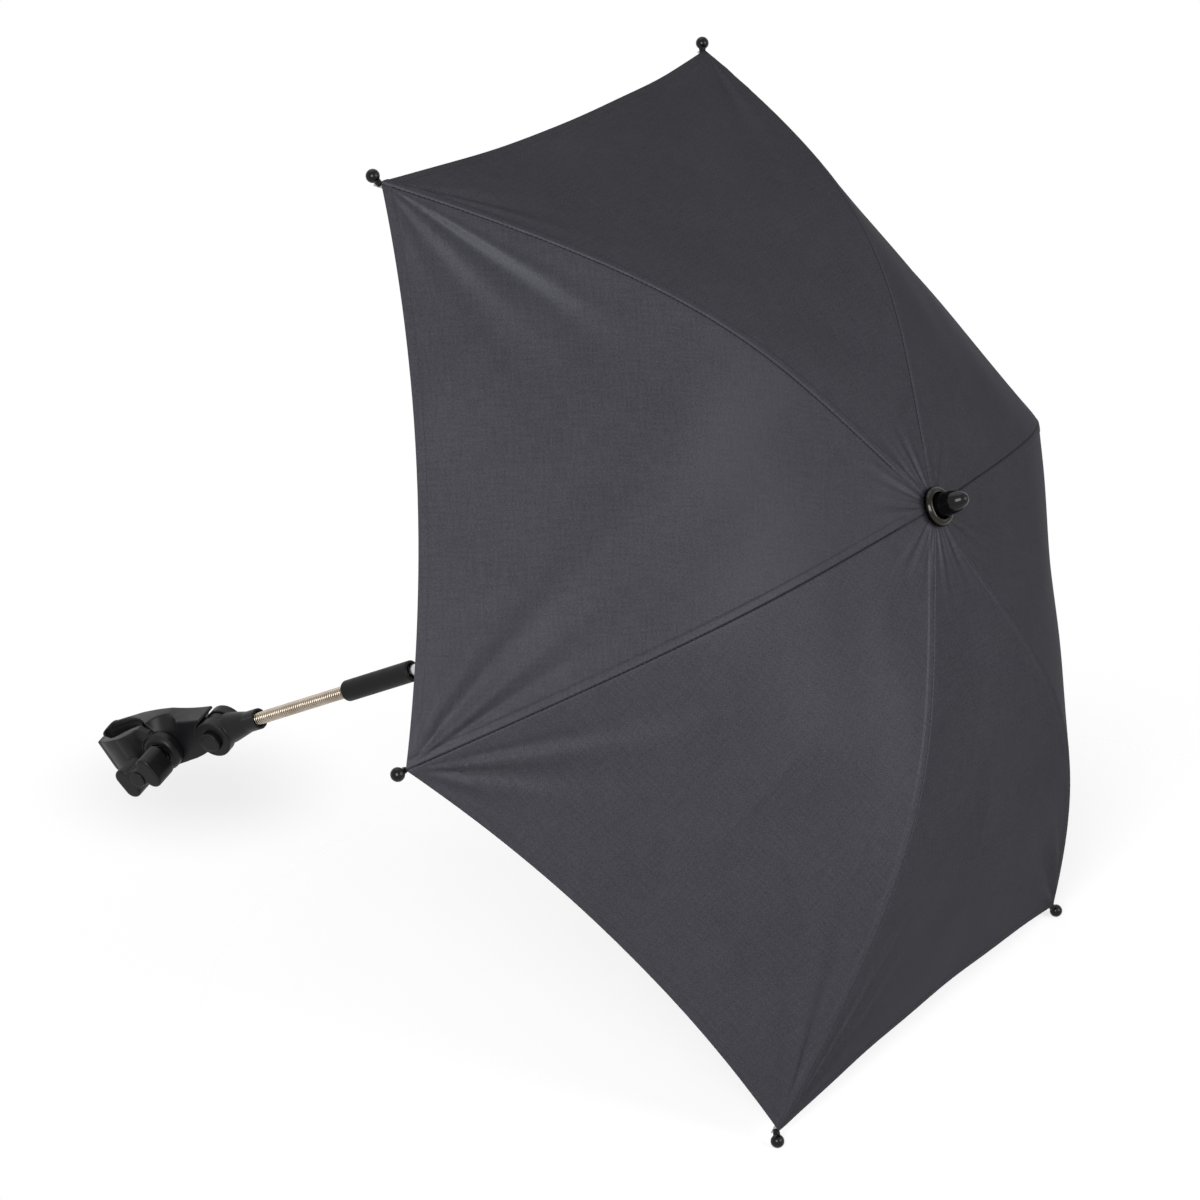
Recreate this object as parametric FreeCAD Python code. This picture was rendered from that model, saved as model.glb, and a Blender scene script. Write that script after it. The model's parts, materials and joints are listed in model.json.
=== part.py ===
import FreeCAD, Part
import math
import os

V = FreeCAD.Vector

# Millimetres. Origin at the centre of the clamp's mouth, +Z up the mast, -Y is the clamp's front.
RIB_COUNT = 6
CANOPY_TURN = 15.0

# The whole parasol
TIP_RADIUS = 350.0
TIP_PLANE_Z = 543.0
MAST_X = 13.0
PIVOT_Z = 77.0

# Canopy, as radius and height above the plane of the tips
RIDGE = ((6.5, 148.8), (147.0, 131.0), (185.0, 144.2), (344.75, 0.0))
FABRIC_DROP = 1.0
PANEL_GAP = 0.3
HEM_RADIUS = 289.5
HEM_PRISM_Z = (-20.0, 180.0)
HALF_GORE = math.radians(180.0 / RIB_COUNT)

# Ribs and stretchers
RIB_WIDTH = 2.6
RIB_TOP_DROP = 2.3
RIB_HEIGHT = 3.3
RIB_WEB = 1.0
RIB_GROOVE = 1.5
RIB_GROOVES = ((15.0, 160.0), (178.0, 334.0))
PIVOT_RADIUS = 9.0
NOTCH_Z = 144.6
WIRE_R = 0.5
EYE_R = 2.1
EYE_BORE = 0.7
JOINT_R = 169.0
JOINT_Z = 117.5
RUNNER_Z = 57.0
RIVET_R = 0.86
RIVET_HEAD = 1.6
RIVET_HEAD_THICK = 0.6
RIVET_PLAY = 0.2
CHEEK = (1.6, 2.4)
CHEEK_LENGTH = 13.0
CHEEK_HALF = 1.7
BAR_START = 10.5
BAR_HALF = 1.1
BAR_WIDTH = 2.4
HOOK_SLOT = 1.9
HOOK_RAMP = 5.5

# Ball tips
BALL_R = 4.1
BALL_Z = -1.8
TIP_STEM_R = 2.5
TIP_STEM_TAPER = 0.6
TIP_STEM_LENGTH = 7.0
TIP_STEM_ROOT = 2.5

# Mast
TUBE_R = 4.0
TUBE_WALL = 0.6
TUBE_TOP = 165.0
TUBE_BOTTOM = -325.0
NOTCH_R = 11.5
NOTCH_BODY = (137.0, 146.0)
SLOT_WIDTH = 3.4
SLOT_FLOOR = 6.5
NOTCH_PIN_R = 1.0
NOTCH_PIN_Z = 140.0
COLLAR_R = 12.0
COLLAR_Z = 149.3
COLLAR_RIM = (0.5, 1.5)
COLLAR_LIP = (1.6, 2.6)
COLLAR_FLOOR = (0.6, 1.4)
FINIAL_R = 7.0
FINIAL_TIP = 173.0
FINIAL_FOOT = 1.7
FINIAL_SKIRT = 9.0
FINIAL_BULGE = (1.9, 5.2)
FINIAL_NOSE = (1.2, 0.4)
RUNNER_R = 12.0
RUNNER_TUBE_R = 6.3
RUNNER_TOP = 3.0
RUNNER_FLANGE = 4.5
RUNNER_LENGTH = 36.0
RUNNER_FOOT = (1.0, 5.0)
RUNNING_FIT = 0.06
PRESS_FIT = 0.02
GLUE_FIT = 0.05
CATCH_TURN = 45.0
CATCH_WIDTH = 1.6
CATCH_Z = (2.0, 21.5)
CATCH_R = 6.4
CATCH_ROOT = (0.6, 2.6)
CATCH_NOSE = 3.0
CATCH_PLAY = 0.2
GRIP_R = 7.2
GRIP_Z = (-343.0, -281.0)
GRIP_BORE = 4.9
GRIP_ROUND = 2.2
GRIP_BEVEL = 0.8
GRIP_FUNNEL = (1.6, 3.5)

# Gooseneck
NECK_Z = (112.0, 205.0)
NECK_PITCH = 1.825
NECK_MEAN_R = 3.7
WIRE_HALF_Z = 0.66
WIRE_HALF_R = 0.7
CORE_R = (2.0, 2.6)
SPIGOT_R = 1.8
SPIGOT_LENGTH = 8.0
PLUG_IN_TUBE = 20.0
NECK_PLAY = 0.5
PLUG_R = 4.6

# Tilt hinge, in the clamp's plane: a runs up the mast and b towards the mouth, from the pivot
EAR_R = 13.6
EAR_Y = 11.5
EAR_PLAY = 0.8
TONGUE_R = 12.6
TONGUE_Y = 3.5
TONGUE_GAP = 0.4
FLARE_R = 12.0
FLARE = (4.0, 28.0)
SOCKET_R = 7.3
SOCKET_END = 39.0
SOCKET_FLOOR = 24.0
SOCKET_FUNNEL = (1.6, 1.9)
BUTTON_R = 7.0
BUTTON_OUT = 4.0
BUTTON_CAP = 6.6
BUTTON_TRAVEL = 2.0
BUTTON_PLAY = 0.2
BUTTON_FIT = 0.1
BUTTON_ROUND = 0.9
AXLE_R = 3.0
AXLE_END = 6.0
SPRING_END = 11.0

# Clamp: seen along b its mouth is an eye, between the body's arm behind and the moving jaw in front
BODY_Y = 9.0
HUB = (-46.0, 4.0)
HUB_R = 15.3
SHOULDER_R = 14.6
SCOOP_R = 15.3
SCOOP_TOP = (-35.5, 24.0, -17.1)
SCOOP_LEAN = (12.0, 7.2)
JAW_HUB_R = 14.5
JAW_BACK = -9.3
JAW_FACE = -15.0
JAW_FRONT = -25.0
RIM_R = 10.4
RIM_HALF = 3.6
PAD_THICK = 1.1
PAD_RIB = 0.8
PAD_RIBS = (4.0, 8.5, 13.0, 17.5, 22.0)
PAD_RIB_HALF = 1.1
PAD_B = (1.5, 24.5)
FIXED_PAD = ((-95.0, -59.0), (-4.0, BODY_Y))
MOVING_PAD = ((-90.0, -61.5), (-16.0, -5.0))
SCREW_R = 3.0
SCREW_HEAD_R = 5.5
SCREW_HEAD = 3.4
HEAD_FIT = 0.1
SCREW_TIP = -39.0
WASHER = (-16.2, -15.2)
WASHER_R = 6.4
KNOB_STEM = (-29.0, -16.6)
KNOB_STEM_R = 6.3
KNOB_WING = (-47.0, -28.0)
KNOB_TURN = 7.0
KNOB_ROUND = 1.8
KNOB_WAIST = (8.6, 6.6)
LOBE_OFFSET = 11.6
LOBE_HALF = (6.4, 11.5)
INSERT_R = 4.6
INSERT_TIP = -41.0
CAP_R = 5.9
CAP_PROUD = 0.9
CAP_DEPTH = 1.2


def mast_point(r, z):
    """A point in the radial plane of a rib that points along +X, before it is turned."""
    return V(r, 0, z)


def on_mast(shape, degrees=0.0):
    """The shape turned about the mast's axis and moved from the tip plane to its place."""
    placed = shape.copy()
    placed.rotate(V(0, 0, 0), V(0, 0, 1), degrees)
    placed.translate(V(MAST_X, 0, TIP_PLANE_Z))
    return placed


def ring(outer, inner, low, high):
    """A tube about the mast's axis."""
    shape = Part.makeCylinder(outer, high - low, V(0, 0, low))
    if inner:
        shape = shape.cut(Part.makeCylinder(inner, high - low, V(0, 0, low)))
    return shape


def cross_pin(radius, r, z, low, high):
    """A cylinder along the tangent at radius r and height z."""
    return Part.makeCylinder(radius, high - low, V(r, low, z), V(0, 1, 0))


def revolve(edges):
    """The closed outline turned about the mast's axis."""
    return Part.Face(Part.Wire(edges)).revolve(V(0, 0, 0), V(0, 0, 1), 360)


def lines(points):
    """Straight edges through (radius, height) points."""
    ends = [mast_point(*p) for p in points]
    return [Part.makeLine(p, q) for p, q in zip(ends[:-1], ends[1:])]


def at(a, b, y=0.0):
    """A point of the clamp's plane in the part's frame."""
    return V(MAST_X - b, y, PIVOT_Z + a)


def polar(centre, radius, degrees):
    """A point of the clamp's plane at an angle from +a towards +b."""
    turn = math.radians(degrees)
    return (centre[0] + radius * math.cos(turn), centre[1] + radius * math.sin(turn))


def outline(place, start, steps):
    """A closed face: each step is a line's end, or an arc's middle and end."""
    edges = []
    here = start
    for step in steps:
        if len(step) == 1:
            edges.append(Part.makeLine(place(*here), place(*step[0])))
        else:
            edges.append(Part.Arc(place(*here), place(*step[0]), place(*step[1])).toShape())
        here = step[-1]
    if here != start:
        edges.append(Part.makeLine(place(*here), place(*start)))
    return Part.Face(Part.Wire(edges))


def profile(start, *steps):
    """A face in the clamp's plane, of a and b."""
    return outline(at, start, steps)


def column(low, high, start, *steps):
    """A solid along b whose outline is given in a and the depth."""
    face = outline(lambda a, y: at(a, low, y), start, steps)
    return face.extrude(at(0, high) - at(0, low))


def slab(face, low, high):
    """The face of the clamp's plane made solid between two depths."""
    moved = face.copy()
    moved.translate(V(0, low, 0))
    return moved.extrude(V(0, high - low, 0))


def disc(centre, radius, low, high):
    """A cylinder across the clamp's plane."""
    return Part.makeCylinder(radius, high - low, at(centre[0], centre[1], low), V(0, 1, 0))


def arc_from(start, tangent, end):
    """The arc that leaves start along tangent and reaches end."""
    chord = end - start
    along = V(chord).normalize()
    side = (tangent - along * tangent.dot(along)).normalize()
    half = math.acos(min(1.0, tangent.dot(along)))
    bulge = chord.Length / 2 * math.tan(half / 2)
    return Part.Arc(start, start + chord * 0.5 + side * bulge, end).toShape()


def biarc(start, leave, end, arrive):
    """Two tangent arcs between two points with given directions."""
    chord = end - start
    both = leave + arrive
    spread = 2 * (1 - leave.dot(arrive))
    along = chord.dot(both)
    reach = (math.sqrt(along * along + spread * chord.dot(chord)) - along) / spread
    middle = (start + end + (leave - arrive) * reach) * 0.5
    back = arc_from(end, arrive * -1, middle)
    return [arc_from(start, leave, middle), Part.Edge(back.Curve, *back.ParameterRange)]


def helix_wire(mean_r, pitch, turns):
    """A wound centreline from height 0 on biarcs of half a turn, with straight ends."""
    def point(half):
        turn = math.pi * half
        return V(mean_r * math.cos(turn), mean_r * math.sin(turn), pitch * half / 2)

    def heading(half):
        turn = math.pi * half
        rise = pitch / (2 * math.pi)
        return V(-mean_r * math.sin(turn), mean_r * math.cos(turn), rise).normalize()

    halves = int(round(2 * turns))
    edges = []
    for half in range(halves):
        edges += biarc(point(half), heading(half), point(half + 1), heading(half + 1))
    lead = 2 * WIRE_HALF_Z
    first = point(0) - heading(0) * lead
    last = point(halves) + heading(halves) * lead
    edges.insert(0, Part.makeLine(first, point(0)))
    edges.append(Part.makeLine(point(halves), last))
    return Part.Wire(Part.__sortEdges__(edges)), first, heading(0)


def least_gap(mean_r, pitch, turns, half_z, per_turn=48):
    """The least gap between neighbouring turns, measured on points of the centreline."""
    count = int(turns * per_turn)
    points = []
    for i in range(count):
        turn = 2 * math.pi * i / per_turn
        points.append(V(mean_r * math.cos(turn), mean_r * math.sin(turn), pitch * i / per_turn))
    pairs = ((i, j) for i in range(count) for j in range(i + per_turn // 2, min(count, i + 2 * per_turn)))
    return min((points[i] - points[j]).Length for i, j in pairs) - 2 * half_z


def wound(mean_r, pitch, turns, half_r, half_z):
    """A wire of diamond section wound into a coil from height 0."""
    path, start, along = helix_wire(mean_r, pitch, turns)
    out = V(1, 0, 0)
    up = along.cross(out).normalize()
    corners = [out * half_r, up * half_z, out * -half_r, up * -half_z, out * half_r]
    section = Part.makePolygon([start + c for c in corners])
    return path.makePipeShell([section], True, False)


def ridge_curve(drop=0.0, squeeze=1.0):
    """The poles of the canopy's line over a rib, lowered, or drawn in towards the mast."""
    return [mast_point(r * squeeze, z - drop) for r, z in RIDGE]


def bezier(poles):
    """An edge along a Bezier curve."""
    curve = Part.BezierCurve()
    curve.setPoles(poles)
    return curve.toShape()


def rib_strip(top, bottom, half_width):
    """A strip that follows the ridge between two depths below it."""
    upper = ridge_curve(top)
    lower = ridge_curve(bottom)
    edges = [bezier(upper), Part.makeLine(upper[-1], lower[-1])]
    edges += [bezier(lower), Part.makeLine(lower[0], upper[0])]
    face = Part.Face(Part.Wire(Part.__sortEdges__(edges)))
    face.translate(V(0, -half_width, 0))
    return face.extrude(V(0, 2 * half_width, 0))


def span(inner, outer, half_width):
    """A tall block between two radii, to trim a rib's strip."""
    return Part.makeBox(outer - inner, 2 * half_width, 400, V(inner, -half_width, -150))


def rib():
    """A channel-section rib with an eye at the notch and a drilled joint for its stretcher."""
    bottom = RIB_TOP_DROP + RIB_HEIGHT
    body = rib_strip(RIB_TOP_DROP, bottom, RIB_WIDTH / 2)
    body = body.common(span(PIVOT_RADIUS, TIP_RADIUS, RIB_WIDTH))
    groove = rib_strip(RIB_TOP_DROP + RIB_WEB, bottom + RIB_HEIGHT, RIB_GROOVE / 2)
    for inner, outer in RIB_GROOVES:
        body = body.cut(groove.common(span(inner, outer, RIB_WIDTH)))
    half = RIB_WIDTH / 2
    body = body.fuse(cross_pin(EYE_R, PIVOT_RADIUS, NOTCH_Z, -half, half))
    body = body.cut(cross_pin(EYE_BORE, PIVOT_RADIUS, NOTCH_Z, -half, half))
    return body.cut(cross_pin(RIVET_R, JOINT_R, JOINT_Z, -half, half)).removeSplitter()


def rivet():
    """The rivet that joins a rib and the fork of its stretcher."""
    inside = CHEEK[1] + RIVET_PLAY
    shape = cross_pin(RIVET_R, JOINT_R, JOINT_Z, -inside, inside)
    shape = shape.fuse(cross_pin(RIVET_HEAD, JOINT_R, JOINT_Z, inside, inside + RIVET_HEAD_THICK))
    shape = shape.fuse(cross_pin(RIVET_HEAD, JOINT_R, JOINT_Z, -inside - RIVET_HEAD_THICK, -inside))
    return shape.removeSplitter()


def block(start, end, half_height, low, high):
    """A bar lying along +X, across a range of the tangent."""
    return Part.makeBox(end - start, high - low, 2 * half_height, V(start, low, -half_height))


def stretcher():
    """A stretcher with a riveted fork at the rib and an open hook at the runner."""
    run = mast_point(PIVOT_RADIUS, RUNNER_Z) - mast_point(JOINT_R, JOINT_Z)
    length = run.Length
    half = BAR_WIDTH / 2
    shape = block(BAR_START, length, BAR_HALF, -half, half)
    shape = shape.fuse(block(BAR_START, CHEEK_LENGTH, BAR_HALF, -CHEEK[1], CHEEK[1]))
    for low, high in (CHEEK, (-CHEEK[1], -CHEEK[0])):
        cheek = block(0, CHEEK_LENGTH, CHEEK_HALF, low, high)
        cheek = cheek.fuse(cross_pin(CHEEK_HALF, 0, 0, low, high))
        shape = shape.fuse(cheek.cut(cross_pin(RIVET_R + RUNNING_FIT, 0, 0, low, high)))
    shape = shape.fuse(cross_pin(EYE_R, length, 0, -half, half))
    half_slot = HOOK_SLOT / 2
    ramp = [(half_slot, 0), (half_slot, -HOOK_RAMP), (-HOOK_RAMP, -HOOK_RAMP)]
    ramp += [(-HOOK_RAMP, -BAR_HALF), (0, half_slot)]
    corners = [V(length + x, -half, z) for x, z in ramp + ramp[:1]]
    relief = Part.Face(Part.makePolygon(corners)).extrude(V(0, BAR_WIDTH, 0))
    seat = cross_pin(half_slot, length, 0, -half, half)
    shape = shape.cut(relief.fuse(seat)).removeSplitter()
    shape.rotate(V(0, 0, 0), V(0, 1, 0), math.degrees(math.atan2(-run.z, run.x)))
    shape.translate(mast_point(JOINT_R, JOINT_Z))
    return shape


def hem_prism():
    """A tall prism with the canopy's scalloped hem, over the panels beside one rib."""
    corner = RIDGE[-1][0]

    def tip(degrees, radius=corner):
        turn = math.radians(degrees)
        return V(radius * math.cos(turn), radius * math.sin(turn), HEM_PRISM_Z[0])

    edges = [Part.Arc(tip(-60), tip(-30, HEM_RADIUS), tip(0)).toShape()]
    edges.append(Part.Arc(tip(0), tip(30, HEM_RADIUS), tip(60)).toShape())
    edges.append(Part.makeLine(tip(60), tip(180, 20)))
    edges.append(Part.makeLine(tip(180, 20), tip(-60)))
    return Part.Face(Part.Wire(edges)).extrude(V(0, 0, HEM_PRISM_Z[1] - HEM_PRISM_Z[0]))


def half_gore(side):
    """The taut cloth from a rib to the middle of the gore beside it."""
    squeeze = math.cos(HALF_GORE)
    middle = []
    for pole in ridge_curve(0, squeeze):
        radius = pole.x
        spot = V(radius * math.cos(HALF_GORE), side * radius * math.sin(HALF_GORE), pole.z)
        inwards = V(math.sin(HALF_GORE), -side * math.cos(HALF_GORE), 0)
        middle.append(spot + inwards * (PANEL_GAP / 2))
    cloth = Part.makeRuledSurface(bezier(ridge_curve()), bezier(middle))
    return cloth.extrude(V(0, 0, -FABRIC_DROP))


def canopy_panel():
    """The cloth that hangs on one rib, out to the middle of the gore on each side."""
    cloth = half_gore(1).fuse(half_gore(-1)).removeSplitter()
    return cloth.common(hem_prism())


def ball_tip():
    """A ball with a stem that takes the rib's end and the cloth's corner."""
    end = mast_point(RIDGE[-1][0], -RIB_TOP_DROP - RIB_HEIGHT / 2)
    away = (end - mast_point(RIDGE[-2][0], RIDGE[-2][1])).normalize()
    ball = Part.makeSphere(BALL_R, mast_point(TIP_RADIUS, BALL_Z))
    root = end - away * TIP_STEM_ROOT
    small = TIP_STEM_R - TIP_STEM_TAPER
    stem = Part.makeCone(small, TIP_STEM_R, TIP_STEM_LENGTH, root, mast_point(TIP_RADIUS, BALL_Z) - root)
    cap = ball.fuse(stem)
    socket = rib_strip(RIB_TOP_DROP, RIB_TOP_DROP + RIB_HEIGHT, RIB_WIDTH / 2)
    cloth = half_gore(1).fuse(half_gore(-1)).common(hem_prism())
    pieces = cap.cut(socket).cut(cloth).removeSplitter().Solids
    return max(pieces, key=lambda piece: piece.Volume)


def slotted(shape, low, high, outer):
    """The shape with a radial slot for each rib."""
    for k in range(RIB_COUNT):
        slot = Part.makeBox(outer, SLOT_WIDTH, high - low, V(SLOT_FLOOR, -SLOT_WIDTH / 2, low))
        slot.rotate(V(0, 0, 0), V(0, 0, 1), 360.0 / RIB_COUNT * k)
        shape = shape.cut(slot)
    return shape


def wire_ring(height, radius=WIRE_R):
    """The ring of wire that the rib eyes or stretcher hooks turn on."""
    return Part.makeTorus(PIVOT_RADIUS, radius, V(0, 0, height))


def top_notch():
    """The slotted crown that carries the ribs."""
    shape = ring(NOTCH_R, TUBE_R + PRESS_FIT, *NOTCH_BODY)
    shape = slotted(shape, NOTCH_BODY[0], NOTCH_BODY[1], NOTCH_R)
    shape = shape.cut(wire_ring(NOTCH_Z, WIRE_R + PRESS_FIT))
    return shape.cut(notch_pin())


def notch_pin():
    """The pin that fixes the crown to the tube, between two ribs."""
    pin = Part.makeCylinder(NOTCH_PIN_R, 2 * NOTCH_R - 1, V(0.5 - NOTCH_R, 0, NOTCH_PIN_Z), V(1, 0, 0))
    pin.rotate(V(0, 0, 0), V(0, 0, 1), 180.0 / RIB_COUNT)
    return pin


def runner():
    """The sliding collar that carries the stretchers."""
    bore = TUBE_R + RUNNING_FIT
    top = RUNNER_Z + RUNNER_TOP
    shape = ring(RUNNER_R, bore, RUNNER_Z - RUNNER_FLANGE, top)
    shape = slotted(shape, RUNNER_Z - RUNNER_FLANGE, top, RUNNER_R)
    shape = shape.fuse(ring(RUNNER_TUBE_R, bore, top - RUNNER_LENGTH, top))
    foot = top - RUNNER_LENGTH
    shape = shape.fuse(ring(RUNNER_TUBE_R + RUNNER_FOOT[0], bore, foot, foot + RUNNER_FOOT[1]))
    return shape.removeSplitter().cut(wire_ring(RUNNER_Z, WIRE_R + PRESS_FIT))


def shaft_tube():
    """The mast's tube with its window for the catch."""
    shape = ring(TUBE_R, TUBE_R - TUBE_WALL, TUBE_BOTTOM, TUBE_TOP)
    low, high = CATCH_Z
    half = CATCH_WIDTH / 2 + CATCH_PLAY
    window = Part.makeBox(TUBE_R, 2 * half, high - low + 2, V(0, -half, low - 1))
    window.rotate(V(0, 0, 0), V(0, 0, 1), CATCH_TURN - CANOPY_TURN)
    return shape.cut(window).cut(notch_pin())


def catch_spring():
    """The sprung catch that holds the runner up."""
    low, high = CATCH_Z
    back, root = CATCH_ROOT
    points = ((back, low), (root, low), (CATCH_R, high - CATCH_NOSE), (CATCH_R, high))
    points += ((back, high), (back, low))
    face = Part.Face(Part.Wire(lines(points)))
    face.translate(V(0, -CATCH_WIDTH / 2, 0))
    leaf = face.extrude(V(0, CATCH_WIDTH, 0))
    leaf.rotate(V(0, 0, 0), V(0, 0, 1), CATCH_TURN - CANOPY_TURN)
    return leaf


def collar():
    """The dished metal ring on top of the cloth."""
    bore = TUBE_R + GLUE_FIT
    under, floor = (COLLAR_Z + rise for rise in COLLAR_FLOOR)
    low, high = (COLLAR_Z + rise for rise in COLLAR_RIM)
    lip = (COLLAR_R - COLLAR_LIP[0], COLLAR_Z + COLLAR_LIP[1])
    crest = (COLLAR_R - low + COLLAR_Z, lip[1] - 0.1)
    edges = lines(((bore, under), (COLLAR_R - 1.0, COLLAR_Z), (COLLAR_R, low), (COLLAR_R, high)))
    edges.append(Part.Arc(mast_point(COLLAR_R, high), mast_point(*crest), mast_point(*lip)).toShape())
    return revolve(edges + lines((lip, (FINIAL_R + 0.8, floor), (bore, floor), (bore, under))))


def finial():
    """The bullet-shaped cap on the tube's end."""
    bore = TUBE_R + PRESS_FIT
    low = COLLAR_Z + FINIAL_FOOT
    shoulder = (FINIAL_R, low + FINIAL_SKIRT)
    bulge = (FINIAL_R - FINIAL_BULGE[0], FINIAL_TIP - FINIAL_BULGE[1])
    nose = (FINIAL_NOSE[0], FINIAL_TIP - FINIAL_NOSE[1])
    edges = lines(((bore, low), (FINIAL_R - 0.3, low), shoulder))
    edges.append(Part.Arc(mast_point(*shoulder), mast_point(*bulge), mast_point(*nose)).toShape())
    top = TUBE_TOP + 0.2
    return revolve(edges + lines((nose, (0, FINIAL_TIP), (0, top), (bore, top), (bore, low))))


def grip_sleeve():
    """The sleeve over the joint of tube and gooseneck."""
    low, high = GRIP_Z
    step = TUBE_BOTTOM + 1.0
    foot, side = mast_point(GRIP_R - GRIP_ROUND, low), mast_point(GRIP_R, low + GRIP_ROUND)
    inset = GRIP_ROUND * (1 - math.sqrt(0.5))
    edges = lines(((GRIP_BORE, low), (foot.x, low)))
    edges.append(Part.Arc(foot, mast_point(GRIP_R - inset, low + inset), side).toShape())
    wide, deep = GRIP_FUNNEL
    bore = TUBE_R + GLUE_FIT
    rest = ((GRIP_R, side.z), (GRIP_R, high - GRIP_BEVEL), (GRIP_R - GRIP_BEVEL, high))
    rest += ((TUBE_R + wide, high),)
    rest += ((bore, high - deep), (bore, step), (GRIP_BORE, step), (GRIP_BORE, low))
    return revolve(edges + lines(rest))


def neck_top_plug():
    """The plug that joins the gooseneck to the tube, inside the sleeve."""
    foot = NECK_Z[1] - TIP_PLANE_Z + NECK_PLAY
    shape = ring(PLUG_R, 0, foot, TUBE_BOTTOM)
    shape = shape.fuse(ring(TUBE_R - TUBE_WALL - GLUE_FIT, 0, TUBE_BOTTOM, TUBE_BOTTOM + PLUG_IN_TUBE))
    return shape.fuse(ring(SPIGOT_R, 0, foot - SPIGOT_LENGTH, foot)).removeSplitter()


def neck_bottom_plug():
    """The plug that joins the gooseneck to the yoke, inside its socket."""
    floor = PIVOT_Z + SOCKET_FLOOR - TIP_PLANE_Z + 0.1
    head = NECK_Z[0] - TIP_PLANE_Z - NECK_PLAY
    return ring(PLUG_R, 0, floor, head).fuse(ring(SPIGOT_R, 0, head, head + SPIGOT_LENGTH)).removeSplitter()


def neck_core():
    """The inner liner of the gooseneck."""
    return ring(CORE_R[1], CORE_R[0], NECK_Z[0] - TIP_PLANE_Z, NECK_Z[1] - TIP_PLANE_Z)


def neck_turns():
    """The number of turns that fit the gooseneck, in halves."""
    room = NECK_Z[1] - NECK_Z[0] - 2 * (WIRE_HALF_Z + NECK_PLAY)
    return math.floor(2 * room / NECK_PITCH) / 2


def neck_coil():
    """The gooseneck's outer winding."""
    coil = wound(NECK_MEAN_R, NECK_PITCH, neck_turns(), WIRE_HALF_R, WIRE_HALF_Z)
    coil.translate(V(MAST_X, 0, NECK_Z[0] + WIRE_HALF_Z + NECK_PLAY))
    return coil


def yoke():
    """The hinge fork with its socket for the gooseneck."""
    pivot = (0, 0)
    shape = disc(pivot, EAR_R, -EAR_Y, EAR_Y)
    start, end = FLARE
    flare = Part.makeCone(FLARE_R, SOCKET_R, end - start, at(start, 0), V(0, 0, 1))
    between = profile((start, -EAR_R), ((end, -EAR_R),), ((end, EAR_R),), ((start, EAR_R),))
    flare = flare.common(slab(between, -EAR_Y, EAR_Y))
    tube = Part.makeCylinder(SOCKET_R, SOCKET_END - end, at(end, 0), V(0, 0, 1))
    shape = shape.fuse(flare).fuse(tube).removeSplitter()
    slot = TONGUE_Y + TONGUE_GAP
    shape = shape.cut(disc(pivot, EAR_R + EAR_PLAY, -slot, slot))
    shape = shape.cut(Part.makeCylinder(PLUG_R + GLUE_FIT, SOCKET_END, at(SOCKET_FLOOR, 0), V(0, 0, 1)))
    wide, deep = SOCKET_FUNNEL
    funnel = Part.makeCone(PLUG_R, PLUG_R + wide, deep + 0.1, at(SOCKET_END - deep, 0), V(0, 0, 1))
    shape = shape.cut(funnel)
    floor = -EAR_Y + BUTTON_CAP - BUTTON_OUT + BUTTON_TRAVEL + BUTTON_PLAY
    shape = shape.cut(disc(pivot, BUTTON_R + BUTTON_FIT, -EAR_Y - 1, floor))
    return shape.cut(disc(pivot, AXLE_R + RUNNING_FIT, floor - 1, SPRING_END))


def tilt_button():
    """The push button, whose stem is the hinge's axle."""
    front = -EAR_Y - BUTTON_OUT
    cap = disc((0, 0), BUTTON_R, front, front + BUTTON_CAP)
    rim = [e for e in cap.Edges if abs(e.CenterOfMass.y - front) < 0.01]
    axle = disc((0, 0), AXLE_R, front + 3, AXLE_END)
    return cap.makeFillet(BUTTON_ROUND, rim).fuse(axle).removeSplitter()


def button_spring():
    """The spring behind the button's stem."""
    pitch = (SPRING_END - AXLE_END - 1.2) / 4
    coil = wound(2.1, pitch, 4, 0.3, 0.3)
    coil.rotate(V(0, 0, 0), V(1, 0, 0), -90)
    coil.translate(at(0, 0, AXLE_END + 0.6))
    return coil


def body_block():
    """The clamp's body in side view, from the shoulder at the tilt hinge to the tip of the arm."""
    pivot = (0, 0)
    return slab(profile(
        polar(pivot, SHOULDER_R, 100),
        ((-3.4, 16.2),),
        ((-20.0, 19.2), (-36.0, 23.7)),
        ((-50.0, 25.9), (-66.0, 27.3)),
        ((-90.0, 27.5),),
        ((-98.0, 26.8), (-101.5, 24.0)),
        ((-101.5, 12.0),),
        ((-98.3, 2.4), (-88.0, -2.4)),
        (polar(HUB, HUB_R, 250),),
        (polar(HUB, HUB_R, 262), polar(HUB, HUB_R, 272)),
        ((-27.4, -10.8),),
        ((-19.0, -9.9), polar(pivot, SHOULDER_R, 215)),
        (polar(pivot, SHOULDER_R, 160), polar(pivot, SHOULDER_R, 100)),
    ), -BODY_Y, BODY_Y)


def scoop():
    """The leaning round scoop that clears the jaw's hub at the body's upper front edge."""
    down, out = SCOOP_LEAN
    lean = at(0, -down, -out) - at(0, 0, 0)
    start = at(*SCOOP_TOP) - lean
    return Part.makeCylinder(SCOOP_R, 4 * lean.Length, start, lean)


def arm_body():
    """The body with the mouth cut out in front of its arm and the arm's tip rounded."""
    past = BODY_Y + 1.0
    mouth = column(
        -30.0, 40.0,
        (-50.0, -past),
        ((-50.0, -BODY_Y),),
        ((-61.0, -0.4), (-73.0, 5.0)),
        ((-82.0, 6.6), (-90.0, 6.0)),
        ((-96.0, 3.4), (-98.6, -1.5)),
        ((-103.0, -1.5),),
        ((-103.0, -past),),
    )
    tip = column(
        -30.0, 40.0,
        (-90.0, past),
        ((-90.0, BODY_Y),),
        ((-98.2, 6.6), (-101.3, -1.5)),
        ((-103.0, -1.5),),
        ((-103.0, past),),
    )
    return body_block().cut(scoop()).cut(mouth).cut(tip)


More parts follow.
